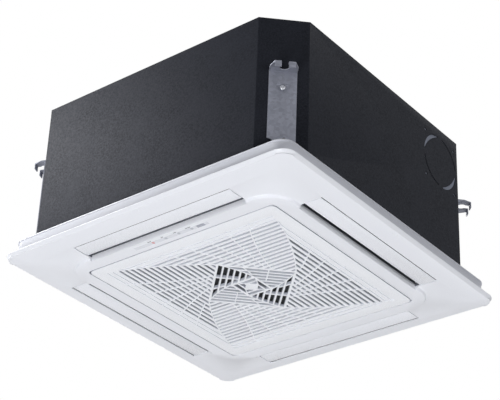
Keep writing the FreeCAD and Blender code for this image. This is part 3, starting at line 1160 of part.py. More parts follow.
def make_brackets():
    """Four galvanised hanger brackets with an open key-hole ear for a threaded rod, and their screws."""
    rod_at = size("rod_spacing") / 2
    rods = [(rod_at, -rod_at), (rod_at, rod_at), (-rod_at, rod_at), (-rod_at, -rod_at)]
    screws = []
    for number, ((foot, spin), hung) in enumerate(zip(bracket_places(), rods), start=1):
        reach = (FreeCAD.Vector(*hung, 0) - foot).Length
        sheet.set(f"D{number}", str(reach))
        sheet.setAlias(f"D{number}", f"rod_reach_{number}")
        tip = f"0 - Sizes.rod_reach_{number} - ear_beyond_rod"
        doc.recompute()
        body = new_body(f"hanger_bracket_{number}")
        half = "bracket_width / 2"
        strip = polygon(body, "strip", rectangle(f"0 - {half}", "bracket_foot", half, "ear_height"),
                        plane="XZ_Plane")
        pad(body, strip, "bracket_sheet")
        ear = polygon(body, "ear", [
            (f"0 - {half}", "0"), (f"0 - {half}", f"{tip} + ear_taper"), ("0 - ear_half_width", tip),
            ("ear_half_width", tip), (half, f"{tip} + ear_taper"), (half, "0")],
            height="ear_height - bracket_sheet")
        pad(body, ear, "bracket_sheet")
        for side, low, high in (("left", "0 - ear_half_width", "0 - slot_mouth / 2"),
                                ("right", "slot_mouth / 2", "ear_half_width")):
            lip = polygon(body, f"{side}_lip", rectangle(
                low, tip, high, f"{tip} + bracket_sheet"), height="ear_height - ear_lip")
            pad(body, lip, "ear_lip")
        key_hole = circles(body, "key_hole", [("0", f"{tip} + ear_beyond_rod", "slot_radius")],
                           height="ear_height + spare")
        pocket(body, key_hole, "bracket_sheet + 2 * spare")
        mouth = polygon(body, "mouth", rectangle("0 - slot_mouth / 2", f"{tip} - spare", "slot_mouth / 2",
                                                 f"{tip} + ear_beyond_rod"), height="ear_height + spare")
        pocket(body, mouth, "bracket_sheet + 2 * spare")
        notch = circles(body, "notch", [
            (f"0 - {half}", "bracket_foot + bracket_notch_rise", "bracket_notch")],
            plane="XZ_Plane", height="bracket_sheet + spare")
        pocket(body, notch, "bracket_sheet + 2 * spare")
        screw_at = "ear_height - bracket_screw_drop"
        dimple = polygon(body, "dimple", [
            ("0 - dimple_foot", f"{screw_at} - dimple_below"), ("dimple_foot", f"{screw_at} - dimple_below"),
            ("dimple_half_width", f"{screw_at} + dimple_above / 2"),
            ("dimple_half_width - dimple_foot / 2", f"{screw_at} + dimple_above"),
            ("0 - dimple_half_width + dimple_foot / 2", f"{screw_at} + dimple_above"),
            ("0 - dimple_half_width", f"{screw_at} + dimple_above / 2")],
            plane="XZ_Plane", height="bracket_sheet - dimple_depth")
        pocket(body, dimple, "dimple_depth + spare", True)
        hole = circles(body, "screw_hole", [("0", screw_at, "bracket_screw_radius")],
                       plane="XZ_Plane", height="bracket_sheet + spare")
        pocket(body, hole, "bracket_sheet + 2 * spare")
        body.Placement = FreeCAD.Placement(foot, spin)
        up = bracket_screw_up()
        face = size("dimple_depth") - size("bracket_sheet")
        head = bar(size("bracket_screw_head_radius"), (0, face - size("bracket_screw_head"), up),
                   (0, face, up))
        shank = bar(size("bracket_screw_radius"), (0, face, up), (0, size("sheet"), up))
        screw = head.fuse(shank)
        screw.Placement = FreeCAD.Placement(foot, spin)
        screws.append(screw)
    feature("bracket_screws", Part.makeCompound(screws))


def write_parts():
    """Check every object and every piece, then write one file for each piece."""
    doc.recompute()
    for item in doc.Objects:
        if {"Invalid", "Error"} & set(item.State):
            raise RuntimeError(f"{item.Label} failed: {item.State}")
    for piece in nodes:
        if piece.Shape.isNull() or not piece.Shape.isValid():
            raise RuntimeError(f"{piece.Label} has no valid shape")
    os.makedirs("parts", exist_ok=True)
    for piece in nodes:
        piece.Shape.exportStep(os.path.join("parts", f"{piece.Label}.step"))
        print(piece.Label, len(piece.Shape.Solids), round(piece.Shape.Volume))


make_panel_frame()
make_panel_rim()
make_panel_foam()
for side_number in range(1, 5):
    make_louver(side_number)
    make_louver_motor(side_number)
make_intake_grille()
make_filter()
make_catches()
make_indicator()
make_panel_bolts()
make_casing_wrap()
make_top_plate()
make_casing_screws()
make_foam_liner()
make_drain_pan()
make_bell_mouth()
make_coil()
make_pipe("gas", size("gas_pipe_radius"), size("gas_pipe_wall"), size("gas_pipe_up"), size("gas_nut_flats"))
make_pipe("liquid", size("liquid_pipe_radius"), size("liquid_pipe_wall"), size("liquid_pipe_up"),
          size("liquid_nut_flats"))
make_pipe_plate()
make_fan()
make_drain()
make_controls()
make_brackets()
write_parts()
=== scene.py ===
"""Looks of a four-way ceiling cassette air conditioner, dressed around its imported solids.

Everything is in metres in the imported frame: z = 0 is the ceiling plane and +Z points up into the ceiling
void. Side 1 of the panel faces -Y, side 2 +X, side 3 +Y and side 4 -X.
"""
import logging
import math
from dataclasses import dataclass, field
from enum import Enum
from typing import Any, Callable, Optional, Sequence

import bmesh
import bpy
from mathutils import Matrix, Vector
from mathutils.bvhtree import BVHTree


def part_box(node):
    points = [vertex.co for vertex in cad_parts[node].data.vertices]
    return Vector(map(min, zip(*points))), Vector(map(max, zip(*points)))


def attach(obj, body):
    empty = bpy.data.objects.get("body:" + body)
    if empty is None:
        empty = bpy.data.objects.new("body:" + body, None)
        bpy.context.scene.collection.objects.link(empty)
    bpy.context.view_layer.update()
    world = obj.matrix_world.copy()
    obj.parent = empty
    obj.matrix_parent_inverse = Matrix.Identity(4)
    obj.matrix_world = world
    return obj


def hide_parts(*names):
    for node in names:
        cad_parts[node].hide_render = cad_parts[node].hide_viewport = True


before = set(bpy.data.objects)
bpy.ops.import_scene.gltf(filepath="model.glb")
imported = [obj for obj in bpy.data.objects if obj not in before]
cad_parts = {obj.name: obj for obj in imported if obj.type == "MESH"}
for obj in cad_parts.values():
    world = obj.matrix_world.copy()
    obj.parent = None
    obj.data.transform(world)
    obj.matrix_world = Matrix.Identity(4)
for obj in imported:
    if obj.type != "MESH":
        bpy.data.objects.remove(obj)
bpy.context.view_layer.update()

MM = 0.001
UP = Vector((0, 0, 1))
SIDES = range(1, 5)
WHITE = "#FFFFFF"
MERGE_MM = 0.002              # packed corners closer than this are one
TURNED_MERGE_MM = 0.001       # the same for the points of a turned piece
SHARP_ANGLE = math.radians(32)
FLAT_ANGLE = math.radians(0.5)
WAVE_PERIOD = math.pi / 10    # length of one band of a Wave texture at scale 1
SPECK_RANGE = (0.34, 0.66)    # where most values of a Noise texture lie
SHADED_WALL_RANGE = (-0.45, -0.15)   # a normal's height where a finish's painted wall shade begins and where it is full
HEX_WASHER = 0.3              # share of a hexagon head's height that is its washer
HEX_TAPER = (0.92, 0.97)      # width at the top of the washer and of the hexagon, to that at their feet
HEX_DISH = (0.3, 0.45)        # inset of a hexagon head's dish to its corner radius, and depth to its height
PAN_DOME = ((1.0, 0.0), (1.0, 0.35), (0.86, 0.8), (0.66, 1.0))    # shares of a pan head's radius and height
PAN_SOCKET = ((1.0, 1.0), (0.9, 0.4), (0.0, 0.3))    # shares of its socket's radius and of the head's height

log = logging.getLogger("cassette")


def linear(hex_colour: str) -> tuple[float, float, float, float]:
    """Turn an sRGB hex colour into linear light.

    Args:
        hex_colour: Six hex digits after a hash sign.

    Returns:
        Linear red, green, blue and an alpha of 1.
    """
    channels = [int(hex_colour[start:start + 2], 16) / 255 for start in (1, 3, 5)]
    light = [c / 12.92 if c <= 0.04045 else ((c + 0.055) / 1.055) ** 2.4 for c in channels]
    return light[0], light[1], light[2], 1.0


def per_metre(size_mm: float) -> float:
    """Texture scale at which one feature of a pattern spans a size in millimetres."""
    return 1.0 / (size_mm * MM)


def add_node(tree: bpy.types.NodeTree, kind: str, settings: Optional[dict[str, Any]] = None,
             inputs: Optional[dict[Any, Any]] = None) -> bpy.types.Node:
    """Add a node with its settings, and set or link its inputs.

    Args:
        tree: The node tree that gets the node.
        kind: Blender's type name of the node.
        settings: Properties of the node by name.
        inputs: Values, or output sockets to link, by the input's name or index.

    Returns:
        The new node.
    """
    node = tree.nodes.new(kind)
    for name, value in (settings or {}).items():
        setattr(node, name, value)
    for key, value in (inputs or {}).items():
        if isinstance(value, bpy.types.NodeSocket):
            tree.links.new(value, node.inputs[key])
        else:
            node.inputs[key].default_value = value
    return node


class Grain(Enum):
    """The kinds of fine pattern that the finishes show."""

    SPECKLE = "speckle"
    SPANGLE = "spangle"
    BEADS = "beads"
    BANDS_X = "bands across x"
    BANDS_Z = "bands along z"
    NET = "net"


@dataclass(frozen=True)
class Finish:
    """One material, or a colour that stands in for shade: its colours, gloss and the pattern that its making
    leaves.

    Attributes:
        name: The material's name.
        colour: The main colour.
        shade: The second colour, which the grain brings out.
        roughness: The roughness at the middle of the grain.
        spread: How far the grain shifts the roughness either way.
        grain: The kind of pattern.
        grain_mm: The size of one speck, crystal, bead or band.
        depth_mm: The height of the grain's relief.
        metallic: The shader's metallic value.
        ior: The index of refraction.
        specular: The shader's specular level.
        tint: The colour of the reflections.
        mottle_mm: The size of the clouds in which the second colour comes and goes.
        painted_wall_shade: A greyer colour painted on the surfaces that don't face down, as painted shade, or
            nothing for none.
    """

    name: str
    colour: str
    shade: str
    roughness: float
    spread: float
    grain: Grain
    grain_mm: float
    depth_mm: float
    metallic: float = 0.0
    ior: float = 1.5
    specular: float = 0.5
    tint: str = WHITE
    mottle_mm: float = 160.0
    painted_wall_shade: str = ""

    def pattern(self, tree: bpy.types.NodeTree, place: bpy.types.NodeSocket) -> bpy.types.NodeSocket:
        """Lay the grain on the object's own coordinates.

        Args:
            tree: The material's node tree.
            place: Object coordinates in metres.

        Returns:
            The grain's height from 0 to 1.
        """
        scale = per_metre(self.grain_mm)
        band = WAVE_PERIOD * scale
        if self.grain is Grain.SPECKLE:
            specks = add_node(tree, "ShaderNodeTexNoise", inputs={
                "Vector": place, "Scale": scale, "Detail": 3.0, "Roughness": 0.6})
            return add_node(tree, "ShaderNodeMapRange", inputs={
                "Value": specks.outputs["Fac"], "From Min": SPECK_RANGE[0],
                "From Max": SPECK_RANGE[1]}).outputs["Result"]
        if self.grain is Grain.SPANGLE:
            cells = add_node(tree, "ShaderNodeTexVoronoi", inputs={"Vector": place, "Scale": scale})
            split = add_node(tree, "ShaderNodeSeparateColor", inputs={"Color": cells.outputs["Color"]})
            return split.outputs["Red"]
        if self.grain is Grain.BEADS:
            return add_node(tree, "ShaderNodeTexVoronoi", {"feature": "DISTANCE_TO_EDGE"}, {
                "Vector": place, "Scale": scale}).outputs["Distance"]
        if self.grain is Grain.NET:
            threads = [add_node(tree, "ShaderNodeTexWave", {"bands_direction": way}, {
                "Vector": place, "Scale": band}).outputs["Fac"] for way in ("X", "Y")]
            return add_node(tree, "ShaderNodeMath", {"operation": "MAXIMUM"}, {
                0: threads[0], 1: threads[1]}).outputs["Value"]
        way = "X" if self.grain is Grain.BANDS_X else "Z"
        return add_node(tree, "ShaderNodeTexWave", {"bands_direction": way}, {
            "Vector": place, "Scale": band}).outputs["Fac"]

    def material(self) -> bpy.types.Material:
        """Build the node material, once for each finish.

        Returns:
            The material named after the finish.
        """
        made = bpy.data.materials.get(self.name)
        if made is not None:
            return made
        made = bpy.data.materials.new(self.name)
        made.use_nodes = True
        tree = made.node_tree
        tree.nodes.clear()
        coordinates = add_node(tree, "ShaderNodeTexCoord")
        place = coordinates.outputs["Object"]
        grain = self.pattern(tree, place)
        mottle = add_node(tree, "ShaderNodeTexNoise", inputs={
            "Vector": place, "Scale": per_metre(self.mottle_mm), "Detail": 2.0}).outputs["Fac"]
        blend = add_node(tree, "ShaderNodeMath", {"operation": "MULTIPLY"}, {0: grain, 1: mottle})
        colour = add_node(tree, "ShaderNodeMix", {"data_type": "RGBA"}, {
            0: blend.outputs["Value"], 6: linear(self.colour), 7: linear(self.shade)})
        # Surfaces that don't face down get a greyer colour: painted shade for the walls between the slats.
        if self.painted_wall_shade:
            normal = add_node(tree, "ShaderNodeSeparateXYZ", inputs={"Vector": coordinates.outputs["Normal"]})
            upright = add_node(tree, "ShaderNodeMapRange", inputs={
                "Value": normal.outputs["Z"], "From Min": SHADED_WALL_RANGE[0], "From Max": SHADED_WALL_RANGE[1]})
            colour = add_node(tree, "ShaderNodeMix", {"data_type": "RGBA"}, {
                0: upright.outputs["Result"], 6: colour.outputs[2], 7: linear(self.painted_wall_shade)})
        gloss = add_node(tree, "ShaderNodeMapRange", inputs={
            "Value": grain, "To Min": self.roughness - self.spread, "To Max": self.roughness + self.spread})
        relief = add_node(tree, "ShaderNodeBump", inputs={
            "Height": grain, "Distance": self.depth_mm * MM, "Strength": 1.0})
        shader = add_node(tree, "ShaderNodeBsdfPrincipled", inputs={
            "Base Color": colour.outputs[2], "Roughness": gloss.outputs["Result"],
            "Normal": relief.outputs["Normal"], "Metallic": self.metallic, "IOR": self.ior,
            "Specular IOR Level": self.specular, "Specular Tint": linear(self.tint)})
        add_node(tree, "ShaderNodeOutputMaterial", inputs={"Surface": shader.outputs["BSDF"]})
        return made


# ABS, injection moulded in a lightly sparked tool: soft sheen, barely any grain. The spark grain of 0.3 mm is
# drawn at 1.2 mm so that it shows.
WHITE_ABS = Finish("moulded_white_abs", "#EFF1F8", "#E7EAF2", 0.36, 0.04, Grain.SPECKLE, 1.2, 0.004)
# The rim stands above the ceiling; its plastic is plainer and duller, and its colour is a shade greyer as
# painted shade for the flange's shadow on it.
RIM_ABS_PAINTED_SHADE = Finish("rim_abs_painted_shade", "#CFD1DA", "#C7CAD3", 0.42, 0.04, Grain.SPECKLE, 1.2, 0.004)
# The louvers come from a smoother tool, a little glossier than the panel.
GLOSS_ABS = Finish("polished_white_abs", "#EFF1F8", "#E8EBF2", 0.28, 0.03, Grain.SPECKLE, 1.2, 0.003)
# The grille is as glossy, and its colour is a touch whiter as painted light for the light that its slats
# catch; the walls between its slats are greyer as painted shade.
GRILLE_ABS = Finish("polished_grille_abs", "#F5F7FD", "#EFF2F8", 0.28, 0.03, Grain.SPECKLE, 1.2, 0.003,
                    painted_wall_shade="#CACED8")
# Coated steel sheet with a leathery grain of fine dark and light specks, drawn at 2.6 mm to show.
COATED_SHEET = Finish("coated_charcoal_sheet", "#2D2F36", "#17191D", 0.48, 0.08, Grain.SPECKLE, 2.6, 0.02,
                      specular=0.035, tint="#C8CEF0", mottle_mm=60.0)
# Galvanised sheet: the zinc's crystals give a patchy sheen.
GALVANISED = Finish("galvanised_sheet", "#868995", "#70737E", 0.55, 0.06, Grain.SPANGLE, 5.0, 0.002,
                    metallic=0.55, mottle_mm=40.0)
# Bright zinc on small screws: a sharp glint, slightly cloudy.
ZINC_PLATED = Finish("zinc_plated_screw", "#B4B6BC", "#8E9198", 0.3, 0.05, Grain.SPECKLE, 0.8, 0.002,
                     metallic=1.0, mottle_mm=6.0)
# Deep-drawn motor cans keep fine rings along the draw.
DRAWN_STEEL = Finish("drawn_steel_can", "#B4B7BC", "#96999F", 0.34, 0.05, Grain.BANDS_Z, 1.5, 0.002,
                     metallic=1.0)
# Expanded polystyrene: beads of about 4 mm pressed together.
BEAD_FOAM = Finish("moulded_bead_foam", "#F2F2EE", "#DEDED8", 0.82, 0.05, Grain.BEADS, 4.0, 0.12)
# Grey bead foam behind the casing, seen only with the grille down.
LINER_FOAM = Finish("grey_liner_foam", "#8A90A0", "#737988", 0.85, 0.05, Grain.BEADS, 3.0, 0.1)
# Open-cell tape: dull and rough, with no shine at all.
SEAL_FOAM = Finish("black_foam_tape", "#26272A", "#191A1C", 0.9, 0.04, Grain.SPECKLE, 1.0, 0.1)
# Grey sheets on the outlet slots' walls, painted shade for their deep walls: dull and rough, with no shine at
# all.
SLOT_WALL_SHADE = Finish("grey_painted_slot_shade", "#62656F", "#50535C", 0.9, 0.04, Grain.SPECKLE, 1.0, 0.1)
# Black inner mouldings: satin, with a fine grain.
BLACK_PLASTIC = Finish("moulded_black_plastic", "#1D1E20", "#151618", 0.5, 0.06, Grain.SPECKLE, 1.5, 0.01)
# Woven filter net: threads 1.2 mm apart, drawn at 2.4 mm to show.
FILTER_NET = Finish("woven_filter_net", "#141517", "#2A2C30", 0.8, 0.05, Grain.NET, 2.4, 0.25)
# The indicator insert: a shade greyer than the panel and glossier.
GREY_ABS = Finish("moulded_grey_abs", "#E4E6EE", "#DADDE6", 0.24, 0.03, Grain.SPECKLE, 1.0, 0.002)
# Lenses of tinted acrylic: smooth and glossy, with a faint cloud in the tint.
RED_ACRYLIC = Finish("red_acrylic_lens", "#D9A3A3", "#C98A8C", 0.12, 0.02, Grain.SPECKLE, 2.0, 0.001,
                     ior=1.49)
CLEAR_ACRYLIC = Finish("pale_acrylic_lens", "#BFC3CE", "#B2B7C4", 0.12, 0.02, Grain.SPECKLE, 2.0, 0.001,
                       ior=1.49)
GREY_ACRYLIC = Finish("grey_acrylic_window", "#A9ADBA", "#9DA1AF", 0.1, 0.02, Grain.SPECKLE, 3.0, 0.001,
                      ior=1.49)
# Pad-printed ink: flat and dry, thin over the plastic.
GREY_INK = Finish("grey_pad_print", "#54575F", "#62656D", 0.7, 0.05, Grain.SPECKLE, 0.6, 0.002)
# A dark strip along the louver's outer edge, put there as a painted shadow for the gap: dull, with little
# shine.
LOUVER_GAP_SHADOW = Finish("dark_painted_gap_shadow", "#26262A", "#1A1A1D", 0.95, 0.03, Grain.SPECKLE, 0.8, 0.05, specular=0.1)
# Aluminium fins 1.4 mm apart with a blue coating, drawn at 2.8 mm to show.
FIN_STOCK = Finish("coated_fin_stock", "#A9B9C6", "#5F6D79", 0.4, 0.08, Grain.BANDS_X, 2.8, 0.4, metallic=0.8)
# Copper tube, patchily dulled by handling and brazing.
COPPER = Finish("drawn_copper_tube", "#C98A62", "#A9683F", 0.3, 0.08, Grain.SPECKLE, 6.0, 0.01, metallic=1.0,
                mottle_mm=25.0)
# Turned brass nuts: bright, with small tarnished spots.
BRASS = Finish("turned_brass", "#C9AC62", "#A98C45", 0.28, 0.05, Grain.SPECKLE, 2.0, 0.004, metallic=1.0)
# Rubber: nearly black and dull.
RUBBER = Finish("moulded_rubber", "#1A1A1B", "#121213", 0.75, 0.06, Grain.SPECKLE, 1.2, 0.02)
# Drain fittings of PVC, a warmer white than the panel.
WHITE_PVC = Finish("moulded_white_pvc", "#E4E4DF", "#D6D6CF", 0.4, 0.05, Grain.SPECKLE, 2.0, 0.01)
# Green lacquer with paler copper tracks under it.
CIRCUIT_BOARD = Finish("lacquered_circuit_board", "#1E5A38", "#2F7B50", 0.35, 0.08, Grain.NET, 5.0, 0.03)

CAD_FINISHES: dict[Finish, Sequence[str]] = {
    BEAD_FOAM: ("panel_foam", "drain_pan"),
    LINER_FOAM: ("foam_liner",),
    SEAL_FOAM: ("panel_seal",),
    DRAWN_STEEL: (*(f"louver_motor_{side}" for side in SIDES), "fan_motor", "fan_shaft"),
    BLACK_PLASTIC: ("catch_housings", "catch_plunger_1", "catch_plunger_2", "control_box", "terminal_block",
                    "pump_rotor", "drain_float", "bell_mouth", "fan_wheel", "drain_pump", "filter_frame"),
    FILTER_NET: ("filter_mesh",),
    ZINC_PLATED: ("panel_bolts", "bell_screws"),
    GALVANISED: ("motor_bracket", "pump_strap", "control_cover"),
    FIN_STOCK: ("coil_fins",),
    COPPER: ("coil_return_bends", "gas_pipe", "liquid_pipe"),
    BRASS: ("fan_nut",),
    RUBBER: ("motor_cushions",),
    WHITE_PVC: ("drain_riser",),
    CIRCUIT_BOARD: ("control_board",),
}


def close_piece(bm: bmesh.types.BMesh, name: str, finish: Finish, body: str,
                replaces: Sequence[str] = ()) -> None:
    """Turn a bmesh into a dressed piece that rides on a body.

    Args:
        bm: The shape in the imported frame; it is freed.
        name: The piece's name.
        finish: What the piece is made of.
        body: The body that carries it.
        replaces: The nodes that it stands for.
    """
    for face in bm.faces:
        face.smooth = True
    for edge in bm.edges:
        edge.smooth = edge.is_manifold and edge.calc_face_angle() < SHARP_ANGLE
    mesh = bpy.data.meshes.new(name)
    bm.to_mesh(mesh)
    bm.free()
    piece = bpy.data.objects.new(name, mesh)
    bpy.context.scene.collection.objects.link(piece)
    piece.data.materials.append(finish.material())
    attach(piece, body)
    if replaces:
        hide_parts(*replaces)
    log.info("%s: %d faces on %s", name, len(mesh.polygons), body)


def copied(node: str) -> bmesh.types.BMesh:
    """Copy a node's mesh with its doubles merged and each flat face without holes made one face.

    Args:
        node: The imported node's name.

    Returns:
        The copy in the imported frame.
    """
    bm = bmesh.new()
    bm.from_mesh(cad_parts[node].data)
    bmesh.ops.remove_doubles(bm, verts=bm.verts, dist=MERGE_MM * MM)
    bm.normal_update()
    seen: set[bmesh.types.BMFace] = set()
    inside: set[bmesh.types.BMEdge] = set()
    for first in bm.faces:
        if first in seen:
            continue
        flat = {first}
        reached = [first]
        while reached:
            near = {face for edge in reached.pop().edges for face in edge.link_faces}
            grown = [face for face in near - flat if face.normal.angle(first.normal, 1.0) < FLAT_ANGLE]
            flat.update(grown)
            reached.extend(grown)
        seen |= flat
        edges = {edge for face in flat for edge in face.edges}
        verts = {vert for face in flat for vert in face.verts}
        if len(verts) - len(edges) + len(flat) == 1:
            inside |= {edge for edge in edges if edge.is_manifold and flat.issuperset(edge.link_faces)}
    # Edges go in the mesh's own order, so that every run gives the same mesh.
    bmesh.ops.dissolve_edges(bm, edges=[edge for edge in bm.edges if edge in inside], use_verts=False)
    return bm


def soften(bm: bmesh.types.BMesh, width_mm: float, segments: int = 2,
           wanted: Callable[[bmesh.types.BMEdge], bool] = lambda edge: True) -> None:
    """Round off the sharp edges of a shape.

    Args:
        bm: The shape.
        width_mm: Width of the rounding.
        segments: Number of strips in it.
        wanted: Says which sharp edges are rounded.
    """
    edges = [edge for edge in bm.edges
             if edge.is_manifold and edge.calc_face_angle() > SHARP_ANGLE and wanted(edge)]
    bmesh.ops.bevel(bm, geom=edges, offset=width_mm * MM, offset_type="OFFSET", segments=segments,
                    profile=0.5, affect="EDGES", material=-1, clamp_overlap=True)


def longer_than(length_mm: float) -> Callable[[bmesh.types.BMEdge], bool]:
    """Make a test that picks the edges longer than a length."""
    return lambda edge: edge.calc_length() > length_mm * MM


def highest(edge: bmesh.types.BMEdge) -> float:
    """Height of an edge's upper end."""
    return max(vert.co.z for vert in edge.verts)


def facing(at: Vector, out: Vector) -> Matrix:
    """Stand at a point with the Z axis turned the given way."""
    return Matrix.Translation(at) @ UP.rotation_difference(out).to_matrix().to_4x4()


def hex_screw(bm: bmesh.types.BMesh, at: Vector, out: Vector, washer_mm: float, flats_mm: float,
              height_mm: float) -> None:
    """Add a sheet-metal screw's head: a round washer face under a dished hexagon.

    Args:
        bm: The shape that gets the head.
        at: The middle of the head's seat.
        out: The way that the head points.
        washer_mm: The washer's radius.
        flats_mm: The hexagon's width across its flats.
        height_mm: The whole height.
    """
    seat = facing(at, out)
    washer = height_mm * HEX_WASHER * MM
    rise = height_mm * (1 - HEX_WASHER) * MM
    bmesh.ops.create_cone(bm, cap_ends=True, segments=32, radius1=washer_mm * MM,
                          radius2=washer_mm * HEX_TAPER[0] * MM, depth=washer,
                          matrix=seat @ Matrix.Translation((0, 0, washer / 2)))
    corner = flats_mm / math.sqrt(3) * MM
    hexagon = bmesh.ops.create_cone(bm, cap_ends=True, segments=6, radius1=corner,
                                    radius2=corner * HEX_TAPER[1], depth=rise,
                                    matrix=seat @ Matrix.Translation((0, 0, washer + rise / 2)))
    faces = {face for vert in hexagon["verts"] for face in vert.link_faces}
    crown = max(faces, key=lambda face: face.calc_center_median().dot(out))
    bmesh.ops.inset_region(bm, faces=[crown], thickness=corner * HEX_DISH[0], use_even_offset=True)
    bmesh.ops.translate(bm, verts=crown.verts, vec=-out * rise * HEX_DISH[1])


def pan_screw(bm: bmesh.types.BMesh, at: Vector, out: Vector, radius_mm: float, height_mm: float,
              socket_mm: float) -> None:
    """Add a domed screw head with a round driver socket.

    Args:
        bm: The shape that gets the head.
        at: The middle of the head's seat.
        out: The way that the head points.
        radius_mm: The head's radius.
        height_mm: The head's height.
        socket_mm: The socket's radius.
    """
    profile = [(width * across, height_mm * up)
               for width, shares in ((radius_mm, PAN_DOME), (socket_mm, PAN_SOCKET))
               for across, up in shares]
    lathe(bm, profile, facing(at, out))


def shank(bm: bmesh.types.BMesh, seat: Matrix, radius_mm: float, grip_mm: float, steps: int) -> None:
    """Add the part of a screw that goes down through the sheet from its head's seat.

    Args:
        bm: The shape that gets the shank.
        seat: Where the head sits, with Z pointing out.
        radius_mm: The shank's radius.
        grip_mm: Its length.
        steps: Facets round it.
    """
    lathe(bm, [(radius_mm, 0.0), (radius_mm, -grip_mm), (0.0, -grip_mm)], seat, steps)


def lathe(bm: bmesh.types.BMesh, profile_mm: Sequence[tuple[float, float]], seat: Matrix,
          steps: int = 32) -> None:
    """Spin a profile about the seat's Z axis and close it up.

    Args:
        bm: The shape that gets the turned piece.
        profile_mm: Radius and height of each point, in millimetres.
        seat: Where the axis stands.
        steps: Facets round the axis.
    """
    turned = bmesh.new()
    points = [turned.verts.new((radius * MM, 0.0, height * MM)) for radius, height in profile_mm]
    edges = [turned.edges.new(pair) for pair in zip(points, points[1:])]
    bmesh.ops.spin(turned, geom=points + edges, cent=(0, 0, 0), axis=(0, 0, 1), dvec=(0, 0, 0),
                   angle=2 * math.pi, steps=steps, use_merge=True, use_duplicate=False)
    bmesh.ops.remove_doubles(turned, verts=turned.verts, dist=TURNED_MERGE_MM * MM)
    open_edges = [edge for edge in turned.edges if edge.is_boundary]
    bmesh.ops.holes_fill(turned, edges=open_edges, sides=0)
    bmesh.ops.recalc_face_normals(turned, faces=turned.faces)
    bmesh.ops.transform(turned, matrix=seat, verts=turned.verts)
    made = bpy.data.meshes.new("turned_piece")
    turned.to_mesh(made)
    turned.free()
    bm.from_mesh(made)
    bpy.data.meshes.remove(made)


def slab(bm: bmesh.types.BMesh, low_mm: Sequence[float], high_mm: Sequence[float], round_mm: float,
         turn: Matrix = Matrix()) -> None:
    """Add a block with rounded edges.

    Args:
        bm: The shape that gets the block.
        low_mm: Its lowest corner.
        high_mm: Its highest corner.
        round_mm: Width of the rounding.
        turn: Turns it about the frame's origin.
    """
    low, high = Vector(low_mm) * MM, Vector(high_mm) * MM
    place = turn @ Matrix.Translation((low + high) / 2) @ Matrix.Diagonal((*(high - low), 1))
    verts = bmesh.ops.create_cube(bm, size=1.0, matrix=place)["verts"]
    edges = list(dict.fromkeys(edge for vert in verts for edge in vert.link_edges))
    bmesh.ops.bevel(bm, geom=edges, offset=round_mm * MM, offset_type="OFFSET", segments=2, profile=0.5,
                    affect="EDGES", material=-1, clamp_overlap=True)


def outward(point: Vector, half_mm: float, corner_mm: float) -> tuple[Vector, float]:
    """Find which way a square with round corners faces at a point in plan.

    Args:
        point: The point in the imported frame.
        half_mm: Half the square's side.
        corner_mm: The radius of its corners.

    Returns:
        The level way out of the square, and how far outside it the point lies in millimetres.
    """
    flat = (half_mm - corner_mm) * MM
    over = Vector((max(abs(point.x) - flat, 0.0), max(abs(point.y) - flat, 0.0), 0.0))
    if over.length == 0.0:
        return Vector((1, 0, 0)), -half_mm
    way = over.normalized()
    way = Vector((math.copysign(way.x, point.x), math.copysign(way.y, point.y), 0.0))
    return way, over.length / MM - corner_mm


def quarter(side: int) -> Matrix:
    """Turn from side 1 of the panel to another side."""
    return Matrix.Rotation(math.pi / 2 * (side - 1), 4, "Z")


